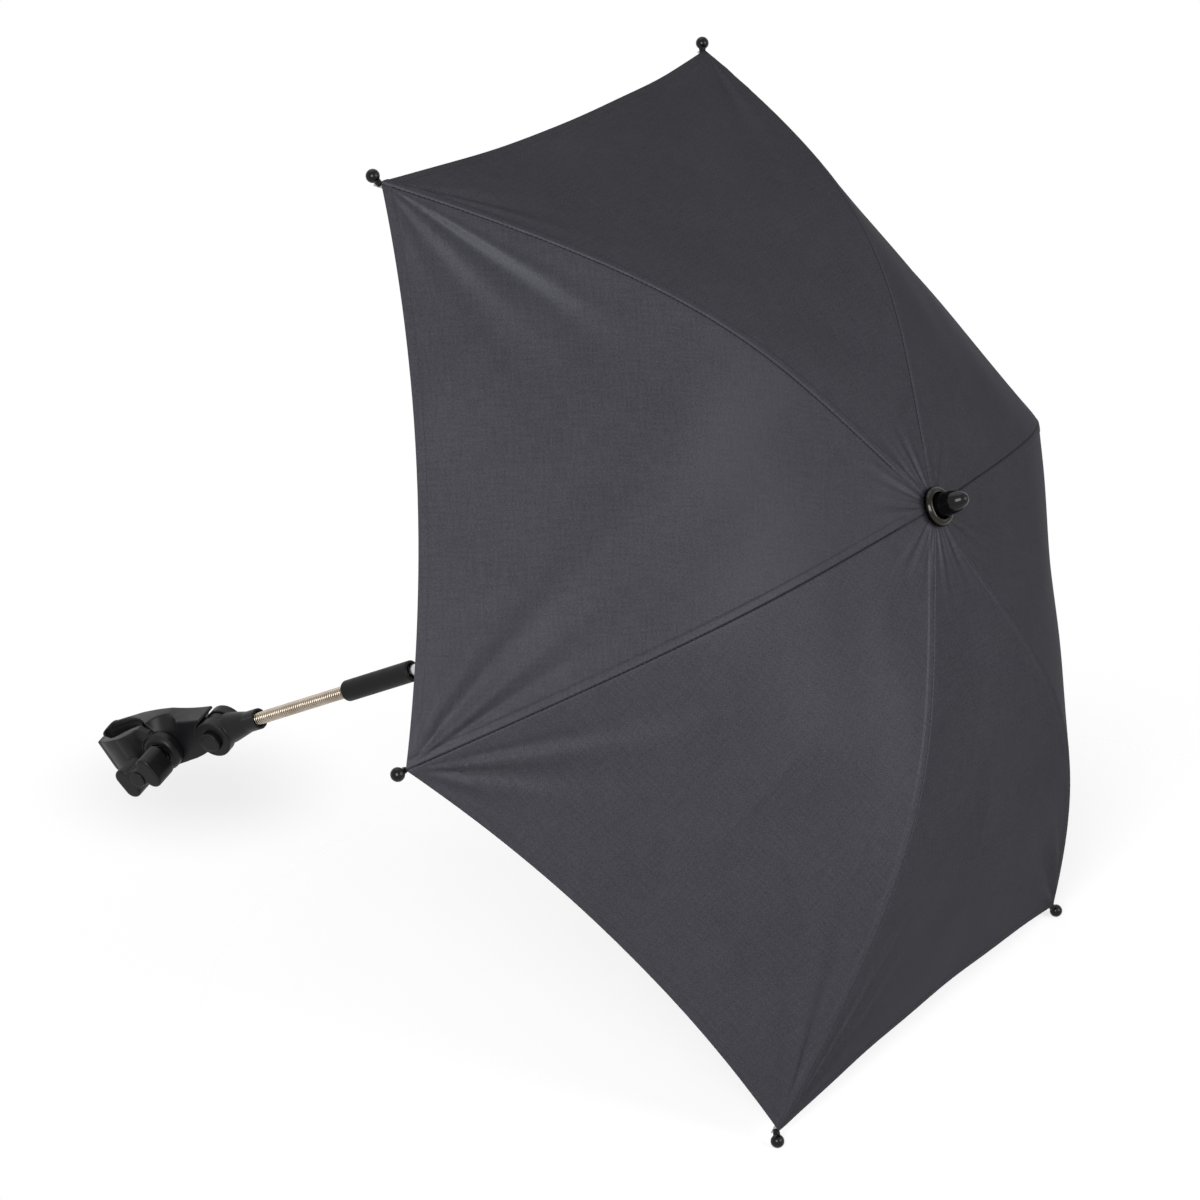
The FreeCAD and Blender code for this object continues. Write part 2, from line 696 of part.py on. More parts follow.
def clamp_body():
    """The fixed jaw, with the tongue of the tilt hinge and the screw's bore."""
    pivot = (0, 0)
    root = profile((-5.0, TONGUE_R - 2), ((-26.0, 12.0),), ((-26.0, -6.0),), ((-5.0, 3 - TONGUE_R),))
    shape = arm_body().fuse(slab(root, -TONGUE_Y, TONGUE_Y))
    shape = shape.fuse(disc(pivot, TONGUE_R, -TONGUE_Y, TONGUE_Y))
    shape = shape.cut(disc(pivot, AXLE_R + RUNNING_FIT, -BODY_Y, BODY_Y))
    shape = shape.cut(disc(HUB, SCREW_R + PRESS_FIT, -BODY_Y, BODY_Y))
    return shape.cut(disc(HUB, SCREW_HEAD_R + HEAD_FIT, BODY_Y - SCREW_HEAD, BODY_Y)).removeSplitter()


def jaw_arm():
    """The moving jaw's bowed arm: its plan along b, trimmed to its side view."""
    bow = column(
        -30.0, 40.0,
        (-47.0, JAW_BACK),
        ((-56.0, JAW_BACK - 0.2),),
        ((-66.0, -11.2), (-73.0, -14.6)),
        ((-78.0, -15.3), (-83.0, -13.4)),
        ((-93.0, -7.6),),
        ((-96.2, -8.0), (-96.8, -11.0)),
        ((-94.8, -14.4), (-90.0, -16.4)),
        ((-80.0, -20.0), (-72.0, -20.7)),
        ((-63.0, -20.0), (-56.5, JAW_FACE)),
        ((-47.0, JAW_FACE),),
    )
    side = profile(
        (-44.0, 17.5),
        ((-53.0, 25.9),),
        ((-91.0, 26.0),),
        ((-95.3, 25.2), (-96.8, 22.5)),
        ((-96.8, 12.0),),
        ((-94.0, 2.6), (-84.5, -2.9)),
        (polar(HUB, JAW_HUB_R - 0.3, 252),),
    )
    return bow.common(slab(side, JAW_FRONT, JAW_BACK + 5.0))


def moving_jaw():
    """The jaw that the knob draws along the screw, with its round hub and rim."""
    rim = Part.makeTorus(RIM_R, RIM_HALF, at(HUB[0], HUB[1], JAW_FACE + 0.4), V(0, 1, 0))
    shape = jaw_arm().fuse(disc(HUB, JAW_HUB_R, JAW_FACE, JAW_BACK)).fuse(rim)
    shape = shape.cut(disc(HUB, SCREW_R + RUNNING_FIT, JAW_FRONT, JAW_BACK))
    return shape.removeSplitter()


def lining(wall, window, shift):
    """A ribbed rubber strip on a wall: the wall's own surface moved into the mouth."""
    (a0, a1), (y0, y1) = window
    bands = [(PAD_THICK, *PAD_B)]
    bands += [(PAD_THICK + PAD_RIB, b - PAD_RIB_HALF, b + PAD_RIB_HALF) for b in PAD_RIBS]
    strips = []
    for thick, low, high in bands:
        moved = wall.copy()
        moved.translate(V(0, shift * thick, 0))
        box = Part.makeBox(high - low, y1 - y0, a1 - a0, at(a0, high, y0))
        strips.append(moved.common(box).cut(wall))
    return strips[0].multiFuse(strips[1:]).removeSplitter()


def fixed_pad():
    """The rubber lining of the body's arm."""
    return lining(arm_body(), FIXED_PAD, -1)


def moving_pad():
    """The rubber lining of the moving jaw."""
    return lining(jaw_arm(), MOVING_PAD, 1)


def clamp_screw():
    """The screw that draws the jaws together."""
    seat = BODY_Y - SCREW_HEAD
    return disc(HUB, SCREW_HEAD_R, seat, BODY_Y).fuse(disc(HUB, SCREW_R, SCREW_TIP, seat)).removeSplitter()


def screw_washer():
    """The washer under the knob."""
    return disc(HUB, WASHER_R, *WASHER).cut(disc(HUB, SCREW_R + RUNNING_FIT, *WASHER))


def knob():
    """The two-lobed hand knob on its stem."""
    low, high = KNOB_WING
    along, across = KNOB_WAIST
    wide, tall = LOBE_HALF
    bend = tall - wide
    waist = profile((-along, -across), ((along, -across),), ((along, across),), ((-along, across),))
    wing = slab(waist, low, high)
    for c in (-LOBE_OFFSET, LOBE_OFFSET):
        lobe = profile(
            (c - wide, -bend),
            ((c - wide, bend),),
            ((c, tall), (c + wide, bend)),
            ((c + wide, -bend),),
            ((c, -tall), (c - wide, -bend)),
        )
        wing = wing.fuse(slab(lobe, low, high))
    wing = wing.removeSplitter()
    edges = [e for e in wing.Edges if abs(e.BoundBox.YMax - e.BoundBox.YMin) < 0.01]
    wing = wing.makeFillet(KNOB_ROUND, edges)
    wing.rotate(at(0, 0), V(0, 1, 0), -KNOB_TURN)
    wing.translate(at(*HUB) - at(0, 0))
    shape = wing.fuse(disc(HUB, KNOB_STEM_R, *KNOB_STEM)).removeSplitter()
    shape = shape.cut(disc(HUB, INSERT_R, INSERT_TIP, KNOB_STEM[1]))
    return shape.cut(disc(HUB, CAP_R + HEAD_FIT, low - 1, low + CAP_DEPTH))


def knob_insert():
    """The threaded insert moulded in the knob."""
    high = KNOB_STEM[1] - 0.6
    return disc(HUB, INSERT_R, INSERT_TIP, high).cut(disc(HUB, SCREW_R + RUNNING_FIT, INSERT_TIP, high))


def knob_cap():
    """The cap in the knob's face."""
    face = KNOB_WING[0] - CAP_PROUD
    cap = disc(HUB, CAP_R, face, KNOB_WING[0] + CAP_DEPTH)
    rim = [e for e in cap.Edges if abs(e.CenterOfMass.y - face) < 0.01]
    return cap.makeFillet(0.6, rim)


def rib_nodes():
    """The pieces that repeat at each rib, with their node names."""
    pieces = {
        "rib": rib(),
        "rib_rivet": rivet(),
        "stretcher": stretcher(),
        "canopy_panel": canopy_panel(),
        "ball_tip": ball_tip(),
    }
    nodes = {}
    for k in range(RIB_COUNT):
        for name, shape in pieces.items():
            nodes[f"{name}_{k + 1}"] = on_mast(shape, CANOPY_TURN + 360.0 / RIB_COUNT * k)
    return nodes


def mast_nodes():
    """The pieces on the mast's axis."""
    pieces = {
        "shaft_tube": shaft_tube(),
        "top_notch": top_notch(),
        "notch_wire": wire_ring(NOTCH_Z),
        "notch_pin": notch_pin(),
        "collar": collar(),
        "finial": finial(),
        "runner": runner(),
        "runner_wire": wire_ring(RUNNER_Z),
        "catch_spring": catch_spring(),
        "grip_sleeve": grip_sleeve(),
        "neck_top_plug": neck_top_plug(),
        "neck_bottom_plug": neck_bottom_plug(),
        "neck_core": neck_core(),
    }
    return {name: on_mast(shape, CANOPY_TURN) for name, shape in pieces.items()}


def clamp_nodes():
    """The pieces of the tilt hinge and the clamp, and the gooseneck's winding."""
    return {
        "neck_coil": neck_coil(),
        "yoke": yoke(),
        "tilt_button": tilt_button(),
        "button_spring": button_spring(),
        "clamp_body": clamp_body(),
        "fixed_pad": fixed_pad(),
        "moving_jaw": moving_jaw(),
        "moving_pad": moving_pad(),
        "clamp_screw": clamp_screw(),
        "screw_washer": screw_washer(),
        "knob": knob(),
        "knob_insert": knob_insert(),
        "knob_cap": knob_cap(),
    }


def main():
    """Builds every node and writes one STEP file for each."""
    os.makedirs("parts", exist_ok=True)
    gap = least_gap(NECK_MEAN_R, NECK_PITCH, 4, WIRE_HALF_Z)
    print(f"gooseneck turns {neck_turns()}, least gap {gap:.2f} mm")
    for name, shape in {**rib_nodes(), **mast_nodes(), **clamp_nodes()}.items():
        if not shape.isValid() or len(shape.Solids) != 1:
            print(f"{name}: valid {shape.isValid()}, solids {len(shape.Solids)}")
        shape.exportStep(f"parts/{name}.step")


if __name__ == "__main__":
    main()
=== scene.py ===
"""Looks of a folding pram parasol: cloth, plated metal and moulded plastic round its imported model."""

import json
import logging
import math
from dataclasses import dataclass
from enum import Enum

import bmesh
import bpy
import numpy as np
from mathutils import Matrix, Vector

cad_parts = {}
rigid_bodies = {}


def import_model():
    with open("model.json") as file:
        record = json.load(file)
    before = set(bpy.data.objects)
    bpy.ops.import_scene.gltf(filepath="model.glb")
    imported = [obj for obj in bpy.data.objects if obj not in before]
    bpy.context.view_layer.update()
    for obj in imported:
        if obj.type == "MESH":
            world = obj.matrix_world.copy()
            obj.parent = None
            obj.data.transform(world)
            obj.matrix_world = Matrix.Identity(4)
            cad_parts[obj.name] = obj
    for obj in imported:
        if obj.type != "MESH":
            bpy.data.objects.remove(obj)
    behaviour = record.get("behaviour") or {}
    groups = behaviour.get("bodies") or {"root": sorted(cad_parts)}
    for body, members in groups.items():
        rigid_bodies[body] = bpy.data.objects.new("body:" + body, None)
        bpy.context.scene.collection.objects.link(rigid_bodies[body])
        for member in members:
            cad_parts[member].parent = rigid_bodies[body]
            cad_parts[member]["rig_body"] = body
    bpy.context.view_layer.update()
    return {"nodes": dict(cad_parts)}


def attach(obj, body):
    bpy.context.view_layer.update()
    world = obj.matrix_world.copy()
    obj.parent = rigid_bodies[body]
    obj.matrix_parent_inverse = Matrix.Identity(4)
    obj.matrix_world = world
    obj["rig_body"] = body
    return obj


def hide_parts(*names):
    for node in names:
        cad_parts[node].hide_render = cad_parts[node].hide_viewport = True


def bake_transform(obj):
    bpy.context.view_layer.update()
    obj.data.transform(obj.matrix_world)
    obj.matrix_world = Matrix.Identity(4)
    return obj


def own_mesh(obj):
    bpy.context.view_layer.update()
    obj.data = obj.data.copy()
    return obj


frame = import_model()
LOG = logging.getLogger("parasol")
MM = 0.001
RIBS = 6
MAST_X = 13 * MM
TIP_PLANE_Z = 543 * MM
CANOPY_TURN = 15.0

Grids = dict[str, np.ndarray]
Material = bpy.types.Material
Piece = bpy.types.Object
Profile = list[tuple[float, float]]
Socket = bpy.types.NodeSocket
Tree = bpy.types.NodeTree


def linear(code: str) -> tuple[float, float, float, float]:
    """Turns an sRGB hex colour into the linear colour that shaders take.

    Args:
        code: Colour such as "#3a3b40".

    Returns:
        Red, green, blue and an alpha of 1.
    """
    parts = [int(code[i : i + 2], 16) / 255 for i in (1, 3, 5)]
    low = [p / 12.92 if p <= 0.04045 else ((p + 0.055) / 1.055) ** 2.4 for p in parts]
    return (low[0], low[1], low[2], 1.0)


def add_node(tree: Tree, kind: str, inputs: dict | None = None, **settings: object) -> bpy.types.Node:
    """Adds one node with its settings, values and links.

    Args:
        tree: Shader or geometry tree that gets the node.
        kind: Identifier of the node's type.
        inputs: Socket name or number, with a value or the output socket that feeds it.
        settings: Attributes of the node itself.

    Returns:
        The new node.
    """
    node = tree.nodes.new(kind)
    for name, value in settings.items():
        setattr(node, name, value)
    for key, value in (inputs or {}).items():
        if isinstance(value, bpy.types.NodeSocket):
            tree.links.new(value, node.inputs[key])
        else:
            node.inputs[key].default_value = value
    return node


def ramp(low_mm: float, high_mm: float, value: np.ndarray) -> np.ndarray:
    """Smooth rise over lengths in metres, from 0 at the low length to 1 at the high one."""
    share = np.clip((value - low_mm * MM) / (high_mm * MM - low_mm * MM), 0, 1)
    return share * share * (3 - 2 * share)


def bell(centre_mm: float, width_mm: float, value: np.ndarray) -> np.ndarray:
    """Smooth hump over lengths in metres, 1 at its centre and about a third at its width."""
    return np.exp(-(((value - centre_mm * MM) / (width_mm * MM)) ** 2))


def rib_turn(rib: float) -> float:
    """Angle of a rib about the mast; half a number more is the middle of the gore after it."""
    return math.radians(CANOPY_TURN + 360 / RIBS * (rib - 1))


@dataclass(frozen=True)
class Finish:
    """A surface finish, kept as one procedural material."""

    name: str
    colour: str
    roughness: float

    def start(self, **values: float | tuple) -> tuple[Material, Tree]:
        """Makes the material with its shader and sets what is the same all over.

        Args:
            values: Shader sockets, with underscores for spaces.

        Returns:
            The material and its tree.
        """
        material = bpy.data.materials.new(self.name)
        material.use_nodes = True
        tree = material.node_tree
        shader = tree.nodes["Principled BSDF"]
        shader.inputs["Base Color"].default_value = linear(self.colour)
        shader.inputs["Roughness"].default_value = self.roughness
        for key, value in values.items():
            shader.inputs[key.replace("_", " ")].default_value = value
        return material, tree

    def lay(self, tree: Tree, share: Socket, other: str, gloss: dict, relief: dict) -> None:
        """Lays colour, gloss and relief on the shader.

        Args:
            tree: The material's tree.
            share: Socket that gives the other colour's share.
            other: sRGB hex colour that the finish's own goes over to.
            gloss: Range of a pattern, and the range of roughness that it gives.
            relief: Height, strength and distance of the relief.
        """
        pair = {0: share, 6: linear(self.colour), 7: linear(other)}
        colour = add_node(tree, "ShaderNodeMix", pair, data_type="RGBA").outputs[2]
        rough = add_node(tree, "ShaderNodeMapRange", gloss).outputs[0]
        bump = add_node(tree, "ShaderNodeBump", relief).outputs["Normal"]
        shader = tree.nodes["Principled BSDF"]
        for key, socket in (("Base Color", colour), ("Roughness", rough), ("Normal", bump)):
            tree.links.new(socket, shader.inputs[key])


@dataclass(frozen=True)
class WovenPolyester(Finish):
    """Plain-woven polyester: fine crossing threads, uneven yarn and a soft satin lustre."""

    thread_light: str = "#46464b"
    pitch_mm: float = 1.4  # a thread pair is 0.5 mm; drawn coarser, so that the weave shows at this distance
    slub_mm: float = 1.8
    slub_draw: float = 0.12  # a thick place is this much narrower than it is long
    grain_mm: float = 1.2
    cloud_mm: float = 70.0
    lustre: float = 0.4  # filament yarn mirrors a lamp, with no white rim where the cloth turns away
    mirror: tuple = (0.5, 0.5, 0.5, 1.0)

    def build(self) -> Material:
        """Threads from the cloth's own flat pattern, kept in metres in the map named weave.

        Returns:
            The material.
        """
        material, tree = self.start(Metallic=self.lustre, Specular_IOR_Level=0.0, Specular_Tint=self.mirror)
        flat = add_node(tree, "ShaderNodeUVMap", uv_map="weave").outputs["UV"]
        axes = add_node(tree, "ShaderNodeSeparateXYZ", {"Vector": flat}).outputs
        turns = 2 * math.pi / (self.pitch_mm * MM)
        waves = {}
        for number, axis in enumerate(("X", "Y")):
            turn = add_node(tree, "ShaderNodeMath", {0: axes[axis], 1: turns}, operation="MULTIPLY")
            wave = add_node(tree, "ShaderNodeMath", {0: turn.outputs[0]}, operation="SINE")
            waves[number] = wave.outputs[0]
        weave = add_node(tree, "ShaderNodeMath", waves, operation="MULTIPLY").outputs[0]
        yarn = {}
        for number, stretch in enumerate(((self.slub_draw, 1.0, 1.0), (1.0, self.slub_draw, 1.0))):
            drawn = add_node(tree, "ShaderNodeMapping", {"Vector": flat, "Scale": stretch}).outputs["Vector"]
            size = {"Vector": drawn, "Scale": 1 / (self.slub_mm * MM), "Detail": 3.0}
            yarn[number] = add_node(tree, "ShaderNodeTexNoise", size).outputs["Fac"]
        slub = add_node(tree, "ShaderNodeMath", yarn, operation="ADD").outputs[0]
        noise = []
        for size_mm in (self.grain_mm, self.cloud_mm):
            size = {"Vector": flat, "Scale": 1 / (size_mm * MM), "Detail": 2.0}
            noise.append(add_node(tree, "ShaderNodeTexNoise", size).outputs["Fac"])
        tone, cloud = noise
        for part, weight in ((cloud, 0.3), (slub, 0.4), (weave, 0.12)):
            sizes = {0: part, 1: weight, 2: tone}
            tone = add_node(tree, "ShaderNodeMath", sizes, operation="MULTIPLY_ADD").outputs[0]
        ends = {"Value": tone, "From Min": 0.7, "From Max": 1.4}
        share = add_node(tree, "ShaderNodeMapRange", ends).outputs[0]
        low, high = self.roughness - 0.05, self.roughness + 0.07
        gloss = {"Value": slub, "From Min": 0.6, "From Max": 1.4, "To Min": low, "To Max": high}
        rise = add_node(tree, "ShaderNodeMath", {0: slub, 1: 0.5, 2: weave}, operation="MULTIPLY_ADD")
        relief = {"Height": rise.outputs[0], "Strength": 0.25, "Distance": 0.12 * MM}
        self.lay(tree, share, self.thread_light, gloss, relief)
        return material


@dataclass(frozen=True)
class MouldedPlastic(Finish):
    """Moulded plastic: a spark-eroded grain, uneven gloss, and edges rubbed lighter."""

    rubbed: str = "#3b3b3d"
    grain_mm: float = 0.55  # the real grain is near 0.2 mm; drawn coarser, so that it shows
    grain_depth: float = 0.25
    patch_mm: float = 9.0
    specular: float = 0.35

    def build(self) -> Material:
        """Grain and gloss from the place on the object, wear from how far an edge stands out.

        Returns:
            The material.
        """
        material, tree = self.start(Specular_IOR_Level=self.specular)
        place = add_node(tree, "ShaderNodeTexCoord").outputs["Object"]
        noise = []
        for size_mm, detail in ((self.grain_mm, 2.0), (self.patch_mm, 4.0)):
            size = {"Vector": place, "Scale": 1 / (size_mm * MM), "Detail": detail}
            noise.append(add_node(tree, "ShaderNodeTexNoise", size).outputs["Fac"])
        grain, patch = noise
        edge = add_node(tree, "ShaderNodeNewGeometry").outputs["Pointiness"]
        ends = {"Value": edge, "From Min": 0.52, "From Max": 0.60}
        proud = add_node(tree, "ShaderNodeMapRange", ends).outputs[0]
        worn = add_node(tree, "ShaderNodeMath", {0: proud, 1: patch}, operation="MULTIPLY").outputs[0]
        low, high = self.roughness - 0.06, self.roughness + 0.06
        gloss = {"Value": patch, "From Min": 0.3, "From Max": 0.7, "To Min": low, "To Max": high}
        relief = {"Height": grain, "Strength": self.grain_depth, "Distance": 0.08 * MM}
        self.lay(tree, worn, self.rubbed, gloss, relief)
        return material


@dataclass(frozen=True)
class PlatedMetal(Finish):
    """Plated or polished metal: fine drawing lines along the mast and faint handling marks."""

    shade: str = "#808080"
    line_mm: float = 0.4
    line_draw: float = 0.03  # a line is this much narrower than it is long
    mark_mm: float = 12.0
    depth: float = 0.06

    def build(self) -> Material:
        """Lines drawn out along the mast's axis, with tone and gloss varying a little.

        Returns:
            The material.
        """
        material, tree = self.start(Metallic=1.0)
        place = add_node(tree, "ShaderNodeTexCoord").outputs["Object"]
        draw = {"Vector": place, "Scale": (1.0, 1.0, self.line_draw)}
        drawn = add_node(tree, "ShaderNodeMapping", draw).outputs["Vector"]
        noise = []
        for spot, size_mm, detail in ((drawn, self.line_mm, 2.0), (place, self.mark_mm, 5.0)):
            size = {"Vector": spot, "Scale": 1 / (size_mm * MM), "Detail": detail}
            noise.append(add_node(tree, "ShaderNodeTexNoise", size).outputs["Fac"])
        lines, marks = noise
        ends = {"Value": marks, "From Min": 0.4, "From Max": 0.75}
        share = add_node(tree, "ShaderNodeMapRange", ends).outputs[0]
        low, high = self.roughness * 0.8, self.roughness * 1.25
        gloss = {"Value": lines, "From Min": 0.3, "From Max": 0.7, "To Min": low, "To Max": high}
        relief = {"Height": lines, "Strength": self.depth, "Distance": 0.05 * MM}
        self.lay(tree, share, self.shade, gloss, relief)
        return material


class Stock(Enum):
    """The finishes this object is made in."""

    # dark charcoal, dull from afar, with a soft sheen where it faces a lamp
    CLOTH = WovenPolyester("woven_polyester", "#35353a", 0.45)
    # stitches nearly black, which draw each seam as a thin dark line: the real stitches, and painted shade
    # for the seam's shadowed groove
    THREAD = MouldedPlastic("polyester_thread", "#0d0d0f", 0.6, rubbed="#161618", grain_mm=0.4, specular=0.1)
    # stitches in the cloth's own colour, which only show close to
    HEM_THREAD = MouldedPlastic(
        "spun_polyester_thread", "#37373b", 0.6, rubbed="#424247", grain_mm=0.4, specular=0.1
    )
    # satin black, with broad soft highlights and slightly paler edges
    NYLON = MouldedPlastic("moulded_nylon", "#141416", 0.4, specular=0.22)
    # duller black than the clamp's, with one faint line of light along it
    SLEEVE = MouldedPlastic("soft_pvc_sleeve", "#121213", 0.5, rubbed="#232324", specular=0.16)
    # dead black with hardly a highlight, so that the mouth looks lined
    RUBBER = MouldedPlastic(
        "moulded_rubber", "#111111", 0.7, rubbed="#242424", grain_depth=0.5, specular=0.12
    )
    # glossy black, with small sharp highlights
    PHENOLIC = MouldedPlastic(
        "polished_phenolic", "#080809", 0.14, rubbed="#121213", grain_depth=0.03, specular=0.22
    )
    # bright silver, with soft streaks along the tube
    TUBE = PlatedMetal("anodised_aluminium", "#d4d5d8", 0.24, shade="#c2c3c7")
    # mid grey with a cloudy shine
    STEEL = PlatedMetal("zinc_plated_steel", "#a9aaac", 0.32, shade="#8d8e91")
    # warm silver, with a bright line on each turn
    NECK = PlatedMetal("nickel_plated_wire", "#b7ac9e", 0.18, shade="#a19484", depth=0.03)
    # painted shade: the liner is dark brown-black, so that the gaps between the turns look deep
    LINER = PlatedMetal("spring_steel_painted_dark", "#221f1b", 0.45, shade="#171512")
    # dark mirror, which shows as a thin bright rim
    COLLAR = PlatedMetal("black_nickel", "#33322f", 0.16, shade="#282725", depth=0.02)
    # yellow metal, mostly hidden
    BRASS = PlatedMetal("turned_brass", "#c8a75a", 0.28, shade="#a98845")

    def material(self) -> Material:
        """The finish's material, made once."""
        return bpy.data.materials.get(self.value.name) or self.value.build()


def new_piece(name: str, mesh: bpy.types.Mesh, stock: Stock) -> Piece:
    """Links a mesh into the scene as a piece in one finish.

    Args:
        name: The piece's name.
        mesh: Its mesh, in the row frame.
        stock: Its finish.

    Returns:
        The object, at the origin.
    """
    piece = bpy.data.objects.new(name, mesh)
    bpy.context.scene.collection.objects.link(piece)
    mesh.materials.clear()
    mesh.materials.append(stock.material())
    return piece


def shell_mesh(name: str, points: np.ndarray, faces: list[tuple[int, ...]], sharp: float) -> bpy.types.Mesh:
    """Makes a smooth-shaded mesh with its sharp edges kept and its faces outwards.

    Args:
        name: The mesh's name.
        points: Vertices, one row each.
        faces: Vertex numbers of each face.
        sharp: Angle in degrees above which an edge shows as sharp.

    Returns:
        The mesh.
    """
    mesh = bpy.data.meshes.new(name)
    mesh.from_pydata([tuple(p) for p in points], [], faces)
    mesh.shade_smooth()
    mesh.set_sharp_from_angle(angle=math.radians(sharp))
    mesh.update()
    body = bmesh.new()
    body.from_mesh(mesh)
    bmesh.ops.recalc_face_normals(body, faces=body.faces)
    body.to_mesh(mesh)
    body.free()
    return mesh


def evaluated(piece: Piece) -> Piece:
    """Turns a piece's modifiers into plain mesh.

    Args:
        piece: An object with modifiers.

    Returns:
        The same object, with its new mesh and no modifiers.
    """
    bpy.context.view_layer.update()
    shape = piece.evaluated_get(bpy.context.evaluated_depsgraph_get())
    mesh = bpy.data.meshes.new_from_object(shape)
    piece.modifiers.clear()
    old, piece.data = piece.data, mesh
    bpy.data.meshes.remove(old)
    return piece


def softened(node: str, name: str, stock: Stock, voxel_mm: float, rounds: int) -> Piece:
    """A copy of a solid with its edges rounded, as a mould leaves them.

    Args:
        node: The solid's name.
        name: Name of the new piece, which stands for the solid.
        stock: Its finish.
        voxel_mm: Grid that the surface is rebuilt on.
        rounds: How often the surface is relaxed; more rounds give softer edges.

    Returns:
        The piece, riding where the solid rides.
    """
    source = frame["nodes"][node]
    mesh = source.data.copy()
    body = bmesh.new()
    body.from_mesh(mesh)
    bmesh.ops.remove_doubles(body, verts=body.verts, dist=0.002 * MM)
    body.to_mesh(mesh)
    body.free()
    piece = new_piece(name, mesh, stock)
    grid = piece.modifiers.new("grid", "REMESH")
    grid.mode = "VOXEL"
    grid.voxel_size = voxel_mm * MM
    grid.use_smooth_shade = True
    relax = piece.modifiers.new("relax", "SMOOTH")
    relax.factor = 0.5
    relax.iterations = rounds
    evaluated(piece)
    piece.data.materials.clear()
    piece.data.materials.append(stock.material())
    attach(piece, source["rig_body"])
    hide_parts(node)
    return piece


class NodeForm:
    """A form that Geometry Nodes make from named sizes."""

    def __init__(self, name: str, sizes: dict[str, float | int]) -> None:
        """Starts the tree with one input for each size.

        Args:
            name: The tree's name.
            sizes: Input names with their usual values.
        """
        self.tree = bpy.data.node_groups.new(name, "GeometryNodeTree")
        face = self.tree.interface
        face.new_socket("Geometry", in_out="INPUT", socket_type="NodeSocketGeometry")
        for key, value in sizes.items():
            kind = "NodeSocketInt" if isinstance(value, int) else "NodeSocketFloat"
            face.new_socket(key, in_out="INPUT", socket_type=kind).default_value = value
        face.new_socket("Material", in_out="INPUT", socket_type="NodeSocketMaterial")
        face.new_socket("Geometry", in_out="OUTPUT", socket_type="NodeSocketGeometry")
        self.given = add_node(self.tree, "NodeGroupInput").outputs

    def close(self, geometry: Socket) -> None:
        """Ends the tree in real mesh with its material.

        Args:
            geometry: What the tree has made so far.
        """
        real = add_node(self.tree, "GeometryNodeRealizeInstances", {0: geometry})
        shade = add_node(self.tree, "GeometryNodeSetShadeSmooth", {0: real.outputs[0]})
        paint = {0: shade.outputs[0], "Material": self.given["Material"]}
        painted = add_node(self.tree, "GeometryNodeSetMaterial", paint)
        add_node(self.tree, "NodeGroupOutput", {0: painted.outputs[0]})

    def make(self, name: str, stock: Stock, path: np.ndarray | None = None, **sizes: float | int) -> Piece:
        """Runs the tree and keeps its result as plain mesh.

        Args:
            name: The new piece's name.
            stock: Its finish.
            path: Points of the path it follows, where the tree takes one.
            sizes: Values of the tree's inputs.

        Returns:
            The piece.
        """
        mesh = bpy.data.meshes.new(name)
        if path is not None:
            mesh.from_pydata([tuple(p) for p in path], [(i, i + 1) for i in range(len(path) - 1)], [])
        piece = new_piece(name, mesh, stock)
        run = piece.modifiers.new("form", "NODES")
        run.node_group = self.tree
        wanted = sizes | {"Material": stock.material()}
        for item in self.tree.interface.items_tree:
            if item.in_out == "INPUT" and item.name in wanted:
                run[item.identifier] = wanted[item.name]
        return evaluated(piece)


class Coil(NodeForm):
    """Wire wound round the mast's axis, or round any upright axis."""

    def __init__(self) -> None:
        """A spiral line with a round wire swept along it."""
        sizes = {"Turns": 10.0, "Radius": 0.004, "Height": 0.02, "Wire": 0.0008, "Steps": 28, "Sides": 10}
        super().__init__("wound_wire", sizes)
        tree, given = self.tree, self.given
        spiral = {"Resolution": given["Steps"], "Rotations": given["Turns"], "Height": given["Height"]}
        spiral |= {"Start Radius": given["Radius"], "End Radius": given["Radius"]}
        line = add_node(tree, "GeometryNodeCurveSpiral", spiral)
        ring = {"Resolution": given["Sides"], "Radius": given["Wire"]}
        wire = add_node(tree, "GeometryNodeCurvePrimitiveCircle", ring)
        sweep = {"Curve": line.outputs[0], "Profile Curve": wire.outputs[0], "Fill Caps": True}
        self.close(add_node(tree, "GeometryNodeCurveToMesh", sweep).outputs[0])

    def wind(self, name: str, stock: Stock, foot: Matrix, **sizes: float | int) -> Piece:
        """Winds a coil and puts it in its place.

        Args:
            name: The new piece's name.
            stock: Its finish.
            foot: Where its lower end stands, and how it is turned.
            sizes: Values of the coil's inputs.

        Returns:
            The piece, with its place in its mesh.
        """
        piece = self.make(name, stock, **sizes)
        piece.data.transform(foot)
        return piece


class Stitching(NodeForm):
    """Stitches of thread laid end to end along a sewn line."""

    def __init__(self) -> None:
        """One short thread, laid along the path at each point."""
        super().__init__("stitch_row", {"Count": 100, "Length": 0.002, "Thread": 0.0002})
        tree, given = self.tree, self.given
        line = add_node(tree, "GeometryNodeMeshToCurve", {0: given["Geometry"]}).outputs[0]
        spots = add_node(tree, "GeometryNodeResampleCurve", {"Curve": line, "Count": given["Count"]})
        along = add_node(tree, "GeometryNodeInputTangent").outputs[0]
        turn = add_node(tree, "FunctionNodeAlignRotationToVector", {"Vector": along}, axis="Z").outputs[0]
        sides = {"X": given["Thread"], "Y": given["Thread"], "Z": given["Length"]}
        size = add_node(tree, "ShaderNodeCombineXYZ", sides).outputs[0]
        ball = {"Segments": 6, "Rings": 4, "Radius": 1.0}
        bead = add_node(tree, "GeometryNodeMeshUVSphere", ball).outputs[0]
        laid = {"Points": spots.outputs[0], "Instance": bead, "Rotation": turn, "Scale": size}
        self.close(add_node(tree, "GeometryNodeInstanceOnPoints", laid).outputs[0])


